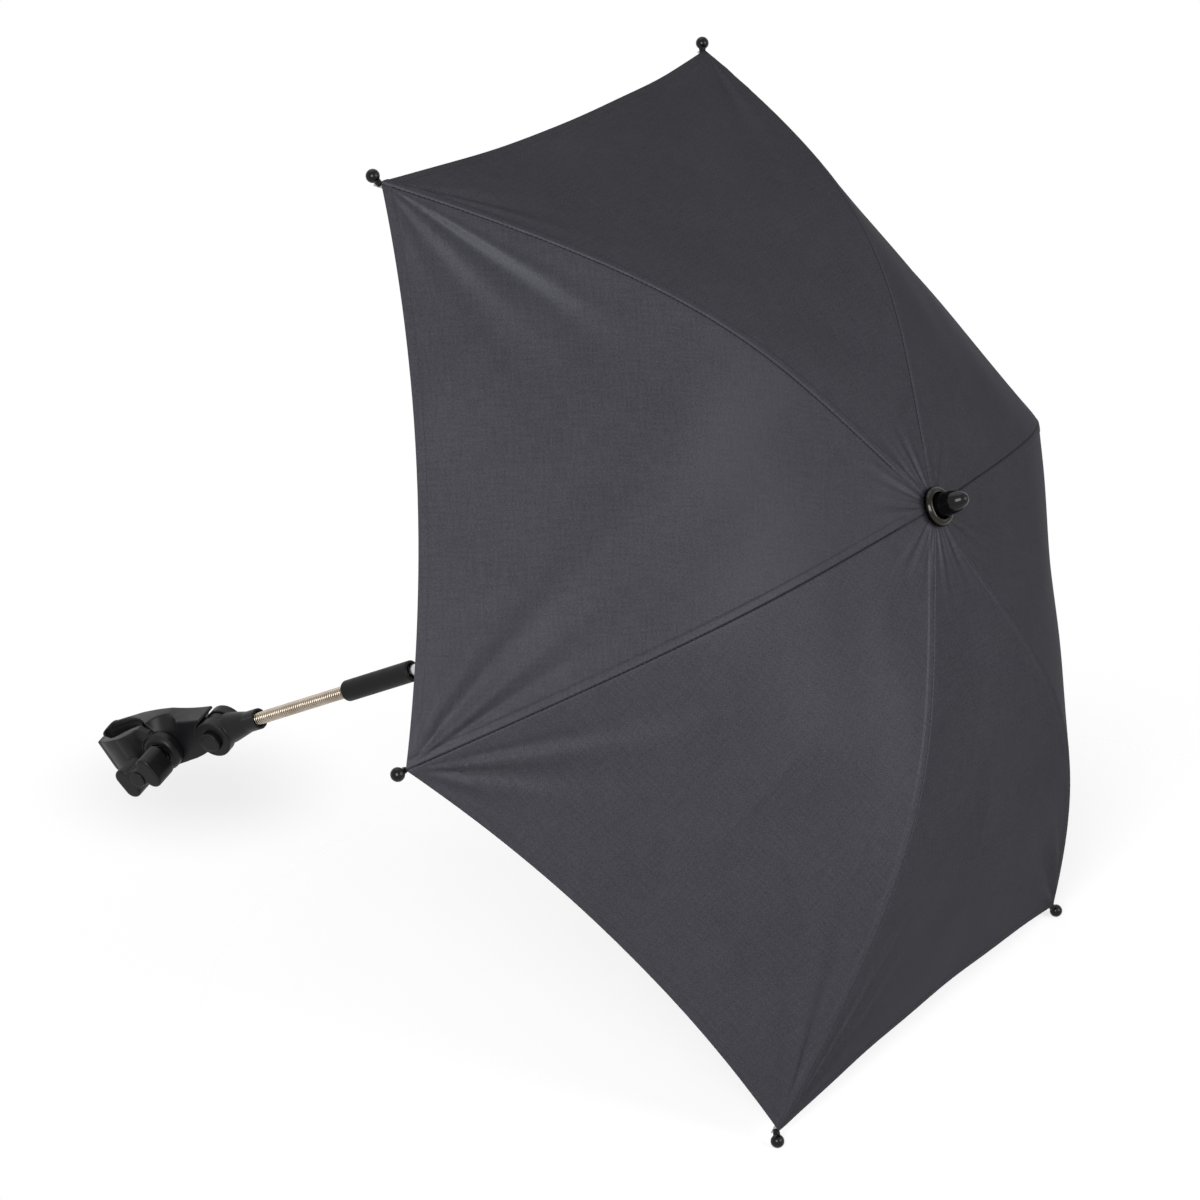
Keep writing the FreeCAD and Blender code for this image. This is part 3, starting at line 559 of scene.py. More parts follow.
# creases by gore and by the rib at their corner, read from the photograph where it shows them:
# angle from the seam and width in degrees, depth and reach in mm
SEEN_FOLDS = {
    (5, 5): (
        (9, 3.0, -0.9, 170), (15, 3.5, 1.3, 210), (24, 4.0, -1.5, 150), (33, 4.5, 1.1, 120),
        (44, 5, -0.7, 100),
    ),
    (4, 5): (
        (6, 2.2, 0.8, 150), (13, 4.0, -1.3, 190), (22, 4.0, 1.5, 230), (33, 4.5, -1.0, 150), (43, 5, 0.6, 90),
    ),
    (4, 4): (
        (7, 2.5, 0.9, 200), (13, 3.0, -0.9, 220), (21, 4.0, 0.9, 190), (30, 4.5, -0.9, 150),
        (41, 5, 0.5, 110),
    ),
    (3, 4): ((6, 2.5, 0.7, 160), (13, 3.5, -0.6, 140), (23, 5.0, 0.5, 120)),
    (5, 6): ((6, 2.5, -0.7, 180), (12, 3.5, 0.8, 230), (20, 4.0, -0.7, 200), (30, 6.0, 0.6, 160)),
    (6, 6): ((7, 2.4, 1.2, 190), (13, 2.6, -1.2, 170), (20, 3.0, 1.2, 150), (28, 4.0, -0.8, 120)),
    (6, 1): ((6, 2.5, 0.9, 150), (13, 3.5, -0.9, 170), (23, 4.5, 0.7, 120)),
}
USUAL_FOLDS = ((7, 2.6, 0.8, 150), (14, 3.4, -0.9, 170), (24, 4.5, 0.8, 140), (35, 5.0, -0.6, 110))


@dataclass
class Canopy:
    """Six gores of taut cloth, parted in the middle of each gore so that a panel goes with each rib."""

    ridge_mm: tuple = ((6.5, 148.8), (147.0, 131.0), (185.0, 144.2), (344.75, 0.0))
    hem_middle_mm: float = 289.5
    columns: int = 46
    rows: int = 96
    hem_rows: int = 9
    hem_zone_mm: float = 11.0  # strip along the hem that the hem's rows share
    hem_width_mm: float = 5.0
    hem_thread_in_mm: float = 1.5  # from the turned hem's inner edge to its stitches
    seam_width_mm: float = 5.0
    ridge_round_mm: float = 2.2
    cloth_mm: float = 0.4
    turned_mm: float = 0.5  # what the turned hem adds to the cloth's thickness
    near_step_mm: float = 0.45
    gathered: float = 0.22
    crease_depth: float = 1.7
    crease_width: float = 0.85
    crease_hold: float = 0.35  # share of its reach over which a crease keeps its depth
    pleat_mm: float = 0.32
    pleat_foot_mm: float = 6.0  # radius of the circle that the pleats leave
    slack_mm: float = 0.7
    stitch_pitch_mm: float = 2.9
    stitch_mm: float = 1.4
    stitch_lift_mm: float = 0.08
    stitch_free: tuple = (8, 4)  # rows without stitches under the collar and at the tip
    # the seam's thread is drawn thick, as it also paints the groove's shadow line
    seam_thread_and_shade_mm: float = 0.30
    hem_thread_mm: float = 0.14

    def __post_init__(self) -> None:
        """Works out the lengths that the cloth's flat pattern is measured in."""
        self.half = math.radians(180 / RIBS)
        steps = np.linspace(0, 1, 801)
        radius, height = self.ridge(steps)
        across = np.hypot(np.diff(radius * math.cos(self.half)), np.diff(height))
        self.flat_steps, self.flat_length = steps, np.concatenate([[0], np.cumsum(across)])
        self.rib_length = float(np.hypot(np.diff(radius), np.diff(height)).sum())
        tip = self.ridge_mm[-1][0] * MM
        reach, middle = tip * math.cos(self.half), self.hem_middle_mm * MM
        self.hem_centre = (reach**2 + (tip * math.sin(self.half)) ** 2 - middle**2) / (2 * (reach - middle))
        self.hem_radius = self.hem_centre - middle
        self.bunch = np.linspace(1e-3, 9, 900)

    def ridge(self, step: np.ndarray) -> tuple[np.ndarray, np.ndarray]:
        """The line over a rib, a Bezier curve.

        Args:
            step: Where on the line, from the mast at 0 to the tip at 1.

        Returns:
            Radius, and height above the tips.
        """
        weights = ((1 - step) ** 3, 3 * step * (1 - step) ** 2, 3 * step**2 * (1 - step), step**3)
        radius = sum(w * p[0] * MM for w, p in zip(weights, self.ridge_mm))
        height = sum(w * p[1] * MM for w, p in zip(weights, self.ridge_mm))
        return radius, height

    def spread(self, share: np.ndarray, half_chord: np.ndarray) -> np.ndarray:
        """Places columns across half a gore, close together beside the seam.

        Args:
            share: Column from 0 on the rib to 1 in the middle of the gore.
            half_chord: Width of the half gore there.

        Returns:
            Distance from the rib along the chord.
        """
        first = np.clip(self.columns * self.near_step_mm * MM / half_chord, 1e-3, 1)
        table = self.bunch / np.sinh(self.bunch)
        bend = np.interp(-first, -table, self.bunch)
        return half_chord * np.sinh(bend * share) / np.sinh(bend)

    def hem_step(self, share: np.ndarray) -> np.ndarray:
        """Finds where each column meets the hem, by halving.

        Args:
            share: Columns, as for spread.

        Returns:
            Step along the rib for each column.
        """
        low, high = np.full_like(share, 0.5), np.ones_like(share)
        for _ in range(40):
            middle = (low + high) / 2
            radius, _ = self.ridge(middle)
            aside = radius / 2 - self.spread(share, radius / 2)
            edge = self.hem_centre - np.sqrt(self.hem_radius**2 - aside**2)
            inside = radius * math.cos(self.half) < edge
            low, high = np.where(inside, middle, low), np.where(inside, high, middle)
        return high

    def relief(self, gore: int, aside: np.ndarray, along: np.ndarray) -> np.ndarray:
        """How far the cloth stands off its taut form, from creases, gathers and slack.

        Args:
            gore: The gore's number, which is that of the rib before it.
            aside: Distance from the gore's middle line, positive towards the rib after it.
            along: Distance down the gore.

        Returns:
            Height along the cloth's outward normal.
        """
        tip_along, tip_aside = self.flat_length[-1], self.ridge_mm[-1][0] * MM / 2
        total = np.zeros_like(aside)
        seam = math.atan2(tip_aside, tip_along)
        for side, rib in ((-1, gore), (1, gore % RIBS + 1)):
            down, over = tip_along - along, side * (side * tip_aside - aside)
            reach = np.hypot(down, over)
            angle = np.degrees(np.arctan2(over, np.maximum(down, 1e-6)) - seam)
            for lean, width, depth_mm, reach_mm in SEEN_FOLDS.get((gore, rib), USUAL_FOLDS):
                wave = np.exp(-(((angle - lean) / (self.crease_width * width)) ** 2))
                fade = ramp(2, 45, reach) * (1 - ramp(self.crease_hold * reach_mm, reach_mm, reach))
                total += self.crease_depth * depth_mm * MM * wave * fade
        pleats, slack = self.loose(gore, aside, along)
        return total + pleats + slack

    def loose(self, gore: int, aside: np.ndarray, along: np.ndarray) -> tuple[np.ndarray, np.ndarray]:
        """Small pleats that run out from under the collar, and broad waves that are gone at the seams.

        Args:
            gore: As for relief.
            aside: As for relief.
            along: As for relief.

        Returns:
            Heights of the pleats and of the waves.
        """
        turn = np.arctan2(aside, along * math.cos(self.half) + self.pleat_foot_mm * MM) / self.half
        pleats = np.sin(turn * 9.0 + gore * 2.1) + 0.6 * np.sin(turn * 15.0 + gore * 4.7)
        fade = ramp(2, 14, along) * (1 - ramp(20, 62, along)) * (1 - turn**4)
        rib_aside = np.interp(along, self.flat_length, self.ridge(self.flat_steps)[0]) / 2
        open_part = np.clip(1 - (aside / np.maximum(rib_aside, 1e-4)) ** 2, 0, 1)
        waves = np.sin(along * 46 + gore * 1.7) * np.sin(aside * 38 + gore * 0.9)
        waves += 0.5 * np.sin(along * 81 - aside * 57 + gore * 2.9)
        slack = self.slack_mm * MM * waves * open_part * ramp(30, 120, along)
        return self.pleat_mm * MM * pleats * fade, slack

    def panel(self, rib: int) -> Grids:
        """Works out the cloth over one rib, out to the middle of the gore on each side.

        Args:
            rib: The rib's number, from 1.

        Returns:
            Grids of the faces, flat pattern and taut form.
        """
        share = np.linspace(0, 1, self.columns + 1)
        edge = 1 - self.hem_zone_mm * MM / self.rib_length
        rows = np.concatenate([np.linspace(0, edge, self.rows), np.linspace(edge, 1, self.hem_rows + 1)[1:]])
        step = self.hem_step(share)[:, None] * rows[None, :]
        radius, height = self.ridge(step)
        out = self.spread(share[:, None], radius / 2)
        ahead = radius * math.cos(self.half)
        along = np.interp(step, self.flat_steps, self.flat_length)
        halves = {}
        for side in (-1, 1):
            aside = -side * (radius / 2 - out)
            turn = rib_turn(rib + side / 2)
            x = MAST_X + ahead * math.cos(turn) - aside * math.sin(turn)
            y = ahead * math.sin(turn) + aside * math.cos(turn)
            taut = np.stack([x, y, TIP_PLANE_Z + height], axis=-1)
            halves[side] = {"taut": taut, "out": out * side, "aside": aside, "along": along, "step": step}
        return self.dress(rib, rows, halves)

    def dress(self, rib: int, rows: np.ndarray, halves: dict[int, Grids]) -> Grids:
        """Rounds the ridge over the rib and lays creases, seam and hem into the taut form.

        Args:
            rib: The rib's number.
            rows: Share of the way to the hem, row by row.
            halves: The taut half gores on each side.

        Returns:
            Grids of the faces, flat pattern and taut form.
        """
        joined = {key: np.concatenate([halves[-1][key][:0:-1], halves[1][key]]) for key in halves[1]}
        taut, out = joined["taut"], joined["out"]
        aside, along = joined["aside"], joined["along"]
        ray = np.array([math.cos(rib_turn(rib)), math.sin(rib_turn(rib)), 0.0])
        radius, height = self.ridge(joined["step"])
        slope = np.arctan2(-np.gradient(height, axis=1), np.gradient(radius, axis=1))
        normal_rib = np.sin(slope)[..., None] * ray + np.cos(slope)[..., None] * np.array([0, 0, 1.0])
        fall = 0.5 * np.sin(slope) / np.sqrt(1 - 0.25 * np.sin(slope) ** 2)
        wide = self.ridge_round_mm * MM
        lowered = fall * (np.sqrt(out**2 + wide**2) - np.abs(out))
        taut = taut - lowered[..., None] * normal_rib
        normal = np.cross(np.gradient(taut, axis=0), np.gradient(taut, axis=1))
        normal /= np.linalg.norm(normal, axis=-1, keepdims=True)
        normal *= np.sign(normal[..., 2:].mean())
        sides = (((rib - 2) % RIBS + 1, slice(None, self.columns)), (rib, slice(self.columns, None)))
        relief = np.concatenate([self.relief(gore, aside[part], along[part]) for gore, part in sides])
        length = np.linalg.norm(np.diff(taut, axis=1), axis=-1).sum(axis=1)
        to_hem = (1 - rows)[None, :] * length[:, None]
        relief += self.sewn(out, to_hem, along)
        outer = taut + relief[..., None] * normal
        turned_in = 1 - ramp(self.hem_width_mm, self.hem_width_mm + 0.8, to_hem)
        thick = (self.cloth_mm + self.turned_mm * turned_in) * MM
        inner = outer - thick[..., None] * normal
        flat = np.stack([aside + rib, along], axis=-1)
        grids = {"outer": outer, "inner": inner, "flat": flat, "taut": taut}
        return grids | {"out": out, "normal": normal, "to_hem": to_hem}

    def sewn(self, out: np.ndarray, to_hem: np.ndarray, along: np.ndarray) -> np.ndarray:
        """Relief of the felled seam over the rib and of the turned hem.

        Args:
            out: Distance from the rib along the chord.
            to_hem: Distance to the hem.
            along: Distance down the gore.

        Returns:
            Height along the cloth's outward normal.
        """
        seam, hem = self.seam_width_mm, self.hem_width_mm
        strip = ramp(0.1, 0.7, -out) * (1 - ramp(seam, seam + 1.2, -out))
        groove = bell(0.4, 0.6, out)
        pucker = np.sin(along * 2 * math.pi / (13 * MM)) * bell(0, 9, out) * ramp(4, 9, np.abs(out))
        fold = 1 - ramp(hem, hem + 1.2, to_hem)
        sunk = bell(hem - self.hem_thread_in_mm, 1.0, to_hem)
        return (0.5 * strip - 0.6 * groove + 0.12 * pucker + 0.06 * fold - 0.06 * sunk) * MM

    def build(self, stitching: Stitching) -> None:
        """Makes the six panels with their stitch rows, and hangs them on the ribs.

        Args:
            stitching: The tree that lays stitches.
        """
        for rib in range(1, RIBS + 1):
            grids = self.panel(rib)
            piece = self.cloth(rib, grids)
            rows = self.stitch_rows(rib, grids, stitching)
            for item in (piece, *rows):
                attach(item, f"rib_{rib}_frame")
                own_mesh(item)
            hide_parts(f"canopy_panel_{rib}")

    def cloth(self, rib: int, grids: Grids) -> Piece:
        """Closes the outer and inner faces into one thin sheet.

        Args:
            rib: The rib's number.
            grids: The panel's grids.

        Returns:
            The panel, with its flat pattern as a map.
        """
        across, down = grids["outer"].shape[:2]
        points = np.concatenate([grids["outer"].reshape(-1, 3), grids["inner"].reshape(-1, 3)])
        number = np.arange(across * down).reshape(across, down)
        lower = number + across * down
        quads = []
        for a, b in zip(range(across - 1), range(1, across)):
            for c, d in zip(range(down - 1), range(1, down)):
                quads.append((number[a, c], number[a, d], number[b, d], number[b, c]))
                quads.append((lower[a, c], lower[b, c], lower[b, d], lower[a, d]))
        rim = [*number[:, 0], *number[-1, 1:], *number[-2::-1, -1], *number[0, -2:0:-1]]
        for here, there in zip(rim, rim[1:] + rim[:1]):
            quads.append((here, there, there + across * down, here + across * down))
        name = f"canopy_cloth_{rib}"
        mesh = shell_mesh(name, points, [tuple(int(n) for n in q) for q in quads], sharp=50.0)
        layer = mesh.uv_layers.new(name="weave")
        flat = np.concatenate([grids["flat"].reshape(-1, 2)] * 2)
        corner = np.zeros(len(mesh.loops), np.int32)
        mesh.loops.foreach_get("vertex_index", corner)
        layer.data.foreach_set("uv", flat[corner].astype(np.float32).ravel())
        return new_piece(name, mesh, Stock.CLOTH)

    def stitch_rows(self, rib: int, grids: Grids, stitching: Stitching) -> list[Piece]:
        """Sews the felled seam beside the rib and the turned hem.

        Args:
            rib: The rib's number.
            grids: The panel's grids.
            stitching: The tree that lays stitches.

        Returns:
            The seam's row and the hem's row.
        """
        face = grids["outer"] + self.stitch_lift_mm * MM * grids["normal"]
        seam_at = np.abs(grids["out"] - self.near_step_mm * MM).argmin(axis=0)
        first, last = self.stitch_free
        seam = np.array([face[seam_at[i], i] for i in range(first, face.shape[1] - last)])
        hem_at = (self.hem_width_mm - self.hem_thread_in_mm) * MM
        hem = face[:, int(np.abs(grids["to_hem"][self.columns] - hem_at).argmin())]
        made = []
        # the seam's row is near-black thread laid almost end to end at the groove: real stitches, and a
        # painted shadow line along the seam
        for name, path, stock, thread in (
            (f"seam_stitches_and_shade_{rib}", seam, Stock.THREAD, self.seam_thread_and_shade_mm),
            (f"hem_stitches_{rib}", hem, Stock.HEM_THREAD, self.hem_thread_mm),
        ):
            long = float(np.linalg.norm(np.diff(path, axis=0), axis=1).sum())
            count = int(long / (self.stitch_pitch_mm * MM))
            sizes = {"Count": count, "Length": self.stitch_mm * MM, "Thread": thread * MM}
            made.append(stitching.make(name, stock, path, **sizes))
        return made


@dataclass
class Gooseneck:
    """The bendable neck: a close-wound wire over a plain liner, in two parts."""

    low_mm: float = 112.0
    high_mm: float = 205.0
    bends_mm: tuple = (116.0, 158.0, 200.0)  # start of the lower bend, where both meet, end of the upper
    pitch_mm: float = 1.825
    mean_mm: float = 3.62
    wire_mm: float = 0.74
    liner_mm: float = 2.7
    liner_wire_mm: float = 0.5
    liner_turns: float = 0.9  # for each turn of the wire

    def build(self, coil: Coil) -> None:
        """Winds the wire and the liner in two lengths and sets each in its place.

        Args:
            coil: The tree that winds wire.
        """
        middle = (self.low_mm + self.high_mm) / 2
        first, meet, last = self.bends_mm
        for name, low, high, below, above, start, end in (
            ("lower", self.low_mm, middle, "hinge_yoke", "neck", first, meet),
            ("upper", middle, self.high_mm, "neck", "mast", meet, last),
        ):
            foot = Matrix.Translation((MAST_X, 0, low * MM))
            turns = (high - low) / self.pitch_mm
            if name == "upper":
                foot = foot @ Matrix.Rotation(2 * math.pi * turns, 4, "Z")
            height = (high - low) * MM
            thin = self.liner_wire_mm
            outer = {"Turns": turns, "Radius": self.mean_mm * MM, "Wire": self.wire_mm * MM}
            inner = {"Turns": turns * self.liner_turns, "Radius": (self.liner_mm - thin) * MM}
            inner |= {"Wire": thin * MM, "Steps": 16, "Sides": 6}
            wire = coil.wind(f"neck_wire_{name}", Stock.NECK, foot, Height=height, **outer)
            # the liner's near-black colour is painted shade in the gaps between the wire's turns
            liner = coil.wind(f"neck_liner_{name}", Stock.LINER, foot, Height=height, **inner)
            for piece, slot in ((wire, "neck_metal"), (liner, "steel")):
                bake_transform(piece)
            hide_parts("neck_coil")
            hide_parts("neck_core")
        LOG.info("gooseneck: %.1f turns of wire", (self.high_mm - self.low_mm) / self.pitch_mm)


@dataclass
class MastEnd:
    """What shows above the cloth: a polished ring round the mast and a bullet-shaped cap, both turned."""

    ring_mm: tuple = (
        (7.6, 150.4), (9.6, 149.2), (11.9, 149.3), (12.3, 151.2),
        (11.9, 153.2), (10.6, 154.9), (8.9, 155.0), (7.7, 153.6),
    )
    cap_mm: tuple = (
        (6.6, 151.2), (7.05, 151.6), (7.1, 156.0), (7.0, 160.4), (6.7, 163.4),
        (6.0, 166.4), (4.9, 169.4), (3.2, 171.9), (1.4, 173.0),
    )
    sides: int = 80
    cuts: int = 2

    def rounded(self, points: Profile, closed: bool) -> Profile:
        """Cuts a profile's corners until it is smooth.

        Args:
            points: Radius and height of each corner.
            closed: Whether the last corner joins the first.

        Returns:
            The smooth profile.
        """
        for _ in range(self.cuts):
            pairs = zip(points, points[1:] + points[:1] if closed else points[1:])
            cut = [tuple(a + (b - a) * at for a, b in zip(*pair)) for pair in pairs for at in (0.25, 0.75)]
            points = cut if closed else [points[0], *cut, points[-1]]
        return points

    def turned(self, name: str, profile_mm: tuple, closed: bool, stock: Stock) -> Piece:
        """Turns a profile about the mast's axis.

        Args:
            name: The piece's name.
            profile_mm: Radius, and height above the tips, of each corner.
            closed: Whether it is a ring; otherwise both ends are closed on the axis.
            stock: Its finish.

        Returns:
            The piece.
        """
        line = self.rounded(list(profile_mm), closed)
        points = []
        for turn in (2 * math.pi * i / self.sides for i in range(self.sides)):
            for r, z in line:
                out = r * MM
                points.append((MAST_X + out * math.cos(turn), out * math.sin(turn), TIP_PLANE_Z + z * MM))
        count = len(line)
        faces = []
        for i in range(self.sides):
            here, there = i * count, (i + 1) % self.sides * count
            for j in range(count if closed else count - 1):
                k = (j + 1) % count
                faces.append((here + j, there + j, there + k, here + k))
        if not closed:
            faces.append(tuple(i * count for i in reversed(range(self.sides))))
            faces.append(tuple(i * count + count - 1 for i in range(self.sides)))
        return new_piece(name, shell_mesh(name, np.array(points), faces, sharp=60.0), stock)

    def build(self) -> None:
        """Turns both pieces and sets them on the mast."""
        ring = self.turned("collar_ring", self.ring_mm, True, Stock.COLLAR)
        cap = self.turned("finial_cap", self.cap_mm, False, Stock.PHENOLIC)
        for piece, node, slot in ((ring, "collar", "collar_metal"), (cap, "finial", "gloss_black")):
            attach(piece, "mast")
            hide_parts(node)
            LOG.info("%s: %d faces", piece.name, len(piece.data.polygons))


@dataclass
class Clamp:
    """The pram clamp with its tilt hinge: moulded bodies, lined jaws and a hand knob."""

    voxel_mm: float = 0.4
    pad_voxel_mm: float = 0.3
    pad_rounds: int = 3
    pivot_mm: float = 77.0
    spring_mm: tuple = (6.6, 10.4, 11.0)  # both ends of the spring and its seat, along Y
    spring_turns: float = 4.0
    spring_radius_mm: float = 2.1
    spring_wire_mm: float = 0.3
    rounds: tuple = (
        ("clamp_body", 18), ("moving_jaw", 18), ("yoke", 18), ("knob", 15), ("knob_cap", 4),
        ("tilt_button", 8),
    )

    def spring(self, coil: Coil) -> None:
        """Winds the spring behind the tilt button and hangs it on the yoke.

        Args:
            coil: The tree that winds wire.
        """
        low, high, seat = self.spring_mm
        foot = Matrix.Translation((MAST_X, low * MM, self.pivot_mm * MM))
        foot = foot @ Matrix.Rotation(math.radians(-90), 4, "X")
        sizes = {"Turns": self.spring_turns, "Radius": self.spring_radius_mm * MM, "Sides": 8}
        sizes |= {"Height": (high - low) * MM, "Wire": self.spring_wire_mm * MM}
        wire = coil.wind("button_spring_wire", Stock.STEEL, foot, **sizes)
        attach(wire, "hinge_yoke")
        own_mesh(wire)
        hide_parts("button_spring")

    def build(self, coil: Coil) -> None:
        """Rounds the moulded pieces' edges, lays their finishes and winds the spring.

        Args:
            coil: The tree that winds wire.
        """
        self.spring(coil)
        for node, rounds in self.rounds:
            piece = softened(node, f"moulded_{node}", Stock.NYLON, self.voxel_mm, rounds)
            LOG.info("%s: %d faces", piece.name, len(piece.data.polygons))
        for node in ("fixed_pad", "moving_pad"):
            piece = softened(node, f"moulded_{node}", Stock.RUBBER, self.pad_voxel_mm, self.pad_rounds)


@dataclass(frozen=True)
class Softbox:
    """A square soft lamp: its direction in shares of the camera's right, up and back, metres and watts."""

    name: str
    way: tuple[float, float, float]
    far: float
    size: float
    watts: float


@dataclass
class Studio:
    """Camera at the photograph's angle, a pale floor under the lying parasol, and soft light."""

    eye: tuple = (-0.747, -1.755, 1.9873)
    right: tuple = (0.51328, 0.43520, 0.73969)
    up: tuple = (-0.80202, 0.55000, 0.23293)
    ahead: tuple = (0.30546, 0.71280, -0.63135)
    lens_mm: float = 118.02
    sensor_mm: float = 36.0
    clip: tuple = (0.05, 60.0)
    lit_spot: tuple = (MAST_X, 0, 0.561)
    lamps: tuple = (
        Softbox("key_softbox", (0.80, 0.18, 0.58), 2.2, 1.4, 26),
        Softbox("front_softbox", (-0.25, 0.02, 0.97), 2.3, 1.2, 42),
        Softbox("top_softbox", (-0.25, 0.93, 0.1), 2.3, 1.8, 9),
    )
    sky: float = 0.08
    floor_up: tuple = (-0.8479, 0.2272, 0.4790)
    floor_middle: tuple = (MAST_X, 0, 0.40)
    floor_size: float = 9.0
    floor_colour: str = "#e6e6e6"
    rim_spot: tuple = (0.30, -0.08, 0.54)
    rim_reach: tuple = (0.3, 0.6)
    veil: float = 0.3
    veil_gain: float = 1.75
    sunk_reach: float = 0.7
    sunk_share: tuple = (0.92, 1.0)
    clamp_spot: tuple = (0.034, -0.008, 0.041)
    clamp_reach: tuple = (0.01, 0.125)
    shade: float = 0.15

    def build(self) -> None:
        """Sets up the camera, the floor, the world and the lamps."""
        scene = bpy.context.scene
        scene.view_settings.view_transform = "Standard"
        self.camera(scene)
        self.floor()
        self.world(scene)
        for box in self.lamps:
            self.lamp(box)

    def camera(self, scene: bpy.types.Scene) -> None:
        """Stands the camera where the photograph's was.

        Args:
            scene: The scene that gets it.
        """
        data = bpy.data.cameras.new("camera")
        data.lens, data.sensor_width = self.lens_mm, self.sensor_mm
        data.clip_start, data.clip_end = self.clip
        camera = bpy.data.objects.new("camera", data)
        turn = Matrix([self.right, self.up, [-x for x in self.ahead]]).transposed()
        camera.matrix_world = Matrix.Translation(self.eye) @ turn.to_4x4()
        scene.collection.objects.link(camera)
        scene.camera = camera

    def lamp(self, box: Softbox) -> None:
        """Hangs a soft lamp that faces the canopy.

        Args:
            box: The lamp's place, size and power.
        """
        data = bpy.data.lights.new(box.name, "AREA")
        data.shape, data.size, data.energy = "SQUARE", box.size, box.watts
        lamp = bpy.data.objects.new(box.name, data)
        axes = (Vector(self.right), Vector(self.up), -Vector(self.ahead))
        direction = sum((a * s for a, s in zip(axes, box.way)), Vector()).normalized()
        place = Matrix.Translation(Vector(self.lit_spot) + direction * box.far)
        lamp.matrix_world = place @ direction.to_track_quat("Z", "Y").to_matrix().to_4x4()
        bpy.context.scene.collection.objects.link(lamp)

    def background_ray(self, tree: Tree) -> Socket:
        """Tells the rays that show the background: camera, glossy and transmission.

        Args:
            tree: The shader tree that asks.

        Returns:
            A socket that is 1 on those rays and 0 on the others.
        """
        ray = add_node(tree, "ShaderNodeLightPath").outputs
        seen = ray["Is Camera Ray"]
        for name in ("Is Glossy Ray", "Is Transmission Ray"):
            seen = add_node(tree, "ShaderNodeMath", {0: seen, 1: ray[name]}, operation="MAXIMUM").outputs[0]
        return seen

    def world(self, scene: bpy.types.Scene) -> None:
        """Even soft light from all round, white where it is seen.

        Args:
            scene: The scene that gets it.
        """
        world = bpy.data.worlds.new("studio")
        world.use_nodes = True
        tree = world.node_tree
        background = tree.nodes["Background"].inputs
        background["Color"].default_value = (1, 1, 1, 1)
        ends = {"Value": self.background_ray(tree), "To Min": self.sky, "To Max": 1.0}
        strength = add_node(tree, "ShaderNodeMapRange", ends)
        tree.links.new(strength.outputs[0], background["Strength"])
        scene.world = world

    def floor(self) -> None:
        """Lays the floor under the two tips and the jaw that the parasol lies on."""
        normal = Vector(self.floor_up).normalized()
        low = min(min(normal.dot(v.co) for v in node.data.vertices) for node in frame["nodes"].values())
        centre = Vector(self.floor_middle)
        centre -= normal * (normal.dot(centre) - low)
        side = normal.cross(Vector((0, 0, 1))).normalized()
        ahead = normal.cross(side)
        half = self.floor_size / 2
        around = ((-half, -half), (half, -half), (half, half), (-half, half))
        mesh = bpy.data.meshes.new("floor")
        mesh.from_pydata([tuple(centre + side * x + ahead * y) for x, y in around], [], [(0, 1, 2, 3)])
        mesh.update()
        if mesh.polygons[0].normal.dot(normal) < 0:
            mesh.flip_normals()
        spot = Vector(self.clamp_spot)
        mesh.materials.append(self.floor_material(spot - normal * (normal.dot(spot) - low)))
        floor = bpy.data.objects.new("floor", mesh)
        bpy.context.scene.collection.objects.link(floor)

    def floor_material(self, under_clamp: Vector) -> Material:
        """Pale floor: matt to the light it sends back, to the eye a thin veil over white with the shadows.

        The veil gives way over what swings through the floor at a pose, and from below there is no floor.
        Under the clamp, which never moves, a painted soft shade stands for its shadow.

        Args:
            under_clamp: Point of the floor under the clamp.

        Returns:
            The material.
        """
        material = bpy.data.materials.new("pale_floor")
        material.use_nodes = True
        tree = material.node_tree
        tree.nodes.remove(tree.nodes["Principled BSDF"])
        matt = add_node(tree, "ShaderNodeBsdfDiffuse", {"Color": linear(self.floor_colour)})
        place = add_node(tree, "ShaderNodeTexCoord").outputs["Object"]
        shares = []
        for spot, (near, far), most in (
            (self.rim_spot, self.rim_reach, self.veil),
            (tuple(under_clamp), self.clamp_reach, self.shade),
        ):
            away = add_node(tree, "ShaderNodeVectorMath", {0: place, 1: spot}, operation="DISTANCE")
            ends = {"Value": away.outputs["Value"], "From Min": near, "From Max": far}
            ends |= {"To Min": most, "To Max": 0.0}
            share = add_node(tree, "ShaderNodeMapRange", ends, interpolation_type="SMOOTHSTEP")
            shares.append(share.outputs[0])
        veil, shade = shares
        reach = {"Distance": self.sunk_reach}
        sunk = add_node(tree, "ShaderNodeAmbientOcclusion", reach, inside=True, samples=12)
        low, high = self.sunk_share
        ends = {"Value": sunk.outputs["AO"], "From Min": low, "From Max": high}
        free = add_node(tree, "ShaderNodeMapRange", ends).outputs[0]
        veil = add_node(tree, "ShaderNodeMath", {0: veil, 1: free}, operation="MULTIPLY").outputs[0]
        clear = add_node(tree, "ShaderNodeMath", {0: 1.0, 1: veil}, operation="SUBTRACT").outputs[0]
        clear = add_node(tree, "ShaderNodeMath", {0: clear, 1: shade}, operation="SUBTRACT").outputs[0]
        through = add_node(tree, "ShaderNodeBsdfTransparent", {"Color": clear})
        lit = add_node(tree, "ShaderNodeMath", {0: veil, 1: self.veil_gain}, operation="MULTIPLY").outputs[0]
        film = add_node(tree, "ShaderNodeBsdfDiffuse", {"Color": lit})
        both = add_node(tree, "ShaderNodeAddShader", {0: through.outputs[0], 1: film.outputs[0]})
        ways = {0: self.background_ray(tree), 1: matt.outputs[0], 2: both.outputs[0]}
        seen = add_node(tree, "ShaderNodeMixShader", ways)
        back = add_node(tree, "ShaderNodeNewGeometry").outputs["Backfacing"]
        none = add_node(tree, "ShaderNodeBsdfTransparent")
        mix = add_node(tree, "ShaderNodeMixShader", {0: back, 1: seen.outputs[0], 2: none.outputs[0]})
        tree.links.new(mix.outputs[0], tree.nodes["Material Output"].inputs["Surface"])
        return material


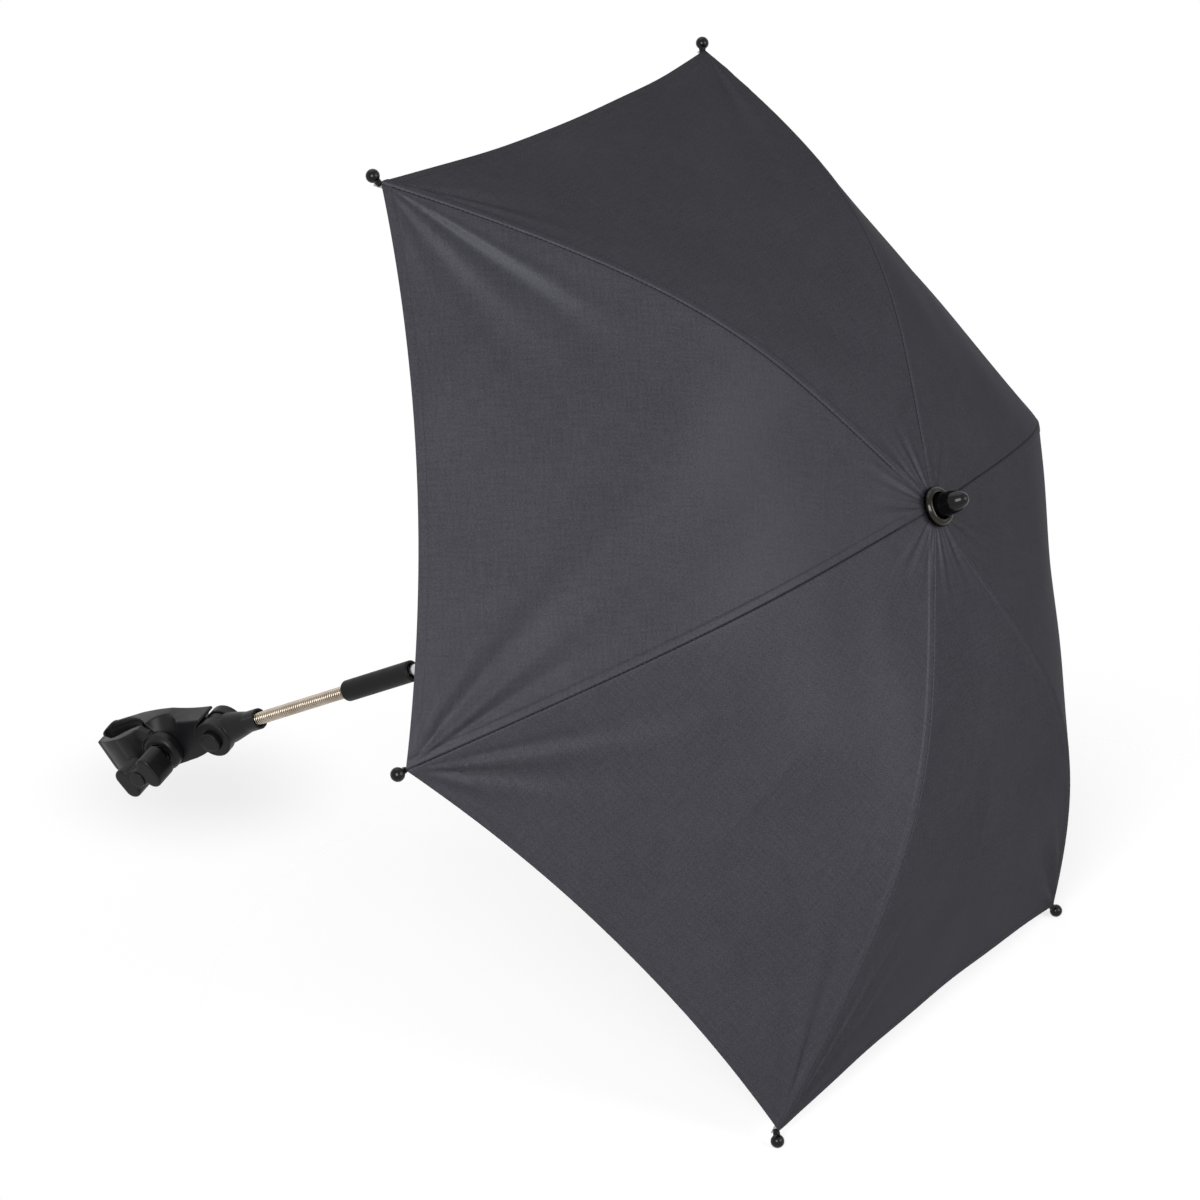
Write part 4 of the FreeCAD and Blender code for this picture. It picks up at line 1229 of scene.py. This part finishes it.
# finishes of the solids that are shown as they are, by the start of their names; the first that fits counts
SOLID_FINISHES = (
    (("rib_", "stretcher_", "notch_wire", "notch_pin", "runner_wire", "catch_spring"), Stock.STEEL),
    (("clamp_screw", "screw_washer"), Stock.STEEL),
    (("shaft_tube",), Stock.TUBE),
    (("ball_tip_",), Stock.PHENOLIC),
    (("knob_insert", "neck_top_plug", "neck_bottom_plug"), Stock.BRASS),
    (("grip_sleeve",), Stock.SLEEVE),
    (("runner", "top_notch"), Stock.NYLON),
)


def dress_solids() -> None:
    """Lays a finish on every solid that is shown as it is."""
    for name, node in frame["nodes"].items():
        for starts, stock in SOLID_FINISHES:
            if name.startswith(starts):
                node.data.materials.clear()
                node.data.materials.append(stock.material())
                break


def main() -> None:
    """Builds each sub-assembly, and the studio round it."""
    logging.basicConfig(level=logging.INFO, format="%(name)s: %(message)s")
    dress_solids()
    Canopy().build(Stitching())
    coil = Coil()
    Gooseneck().build(coil)
    MastEnd().build()
    Clamp().build(coil)
    Studio().build()


if __name__ == "__main__":
    main()
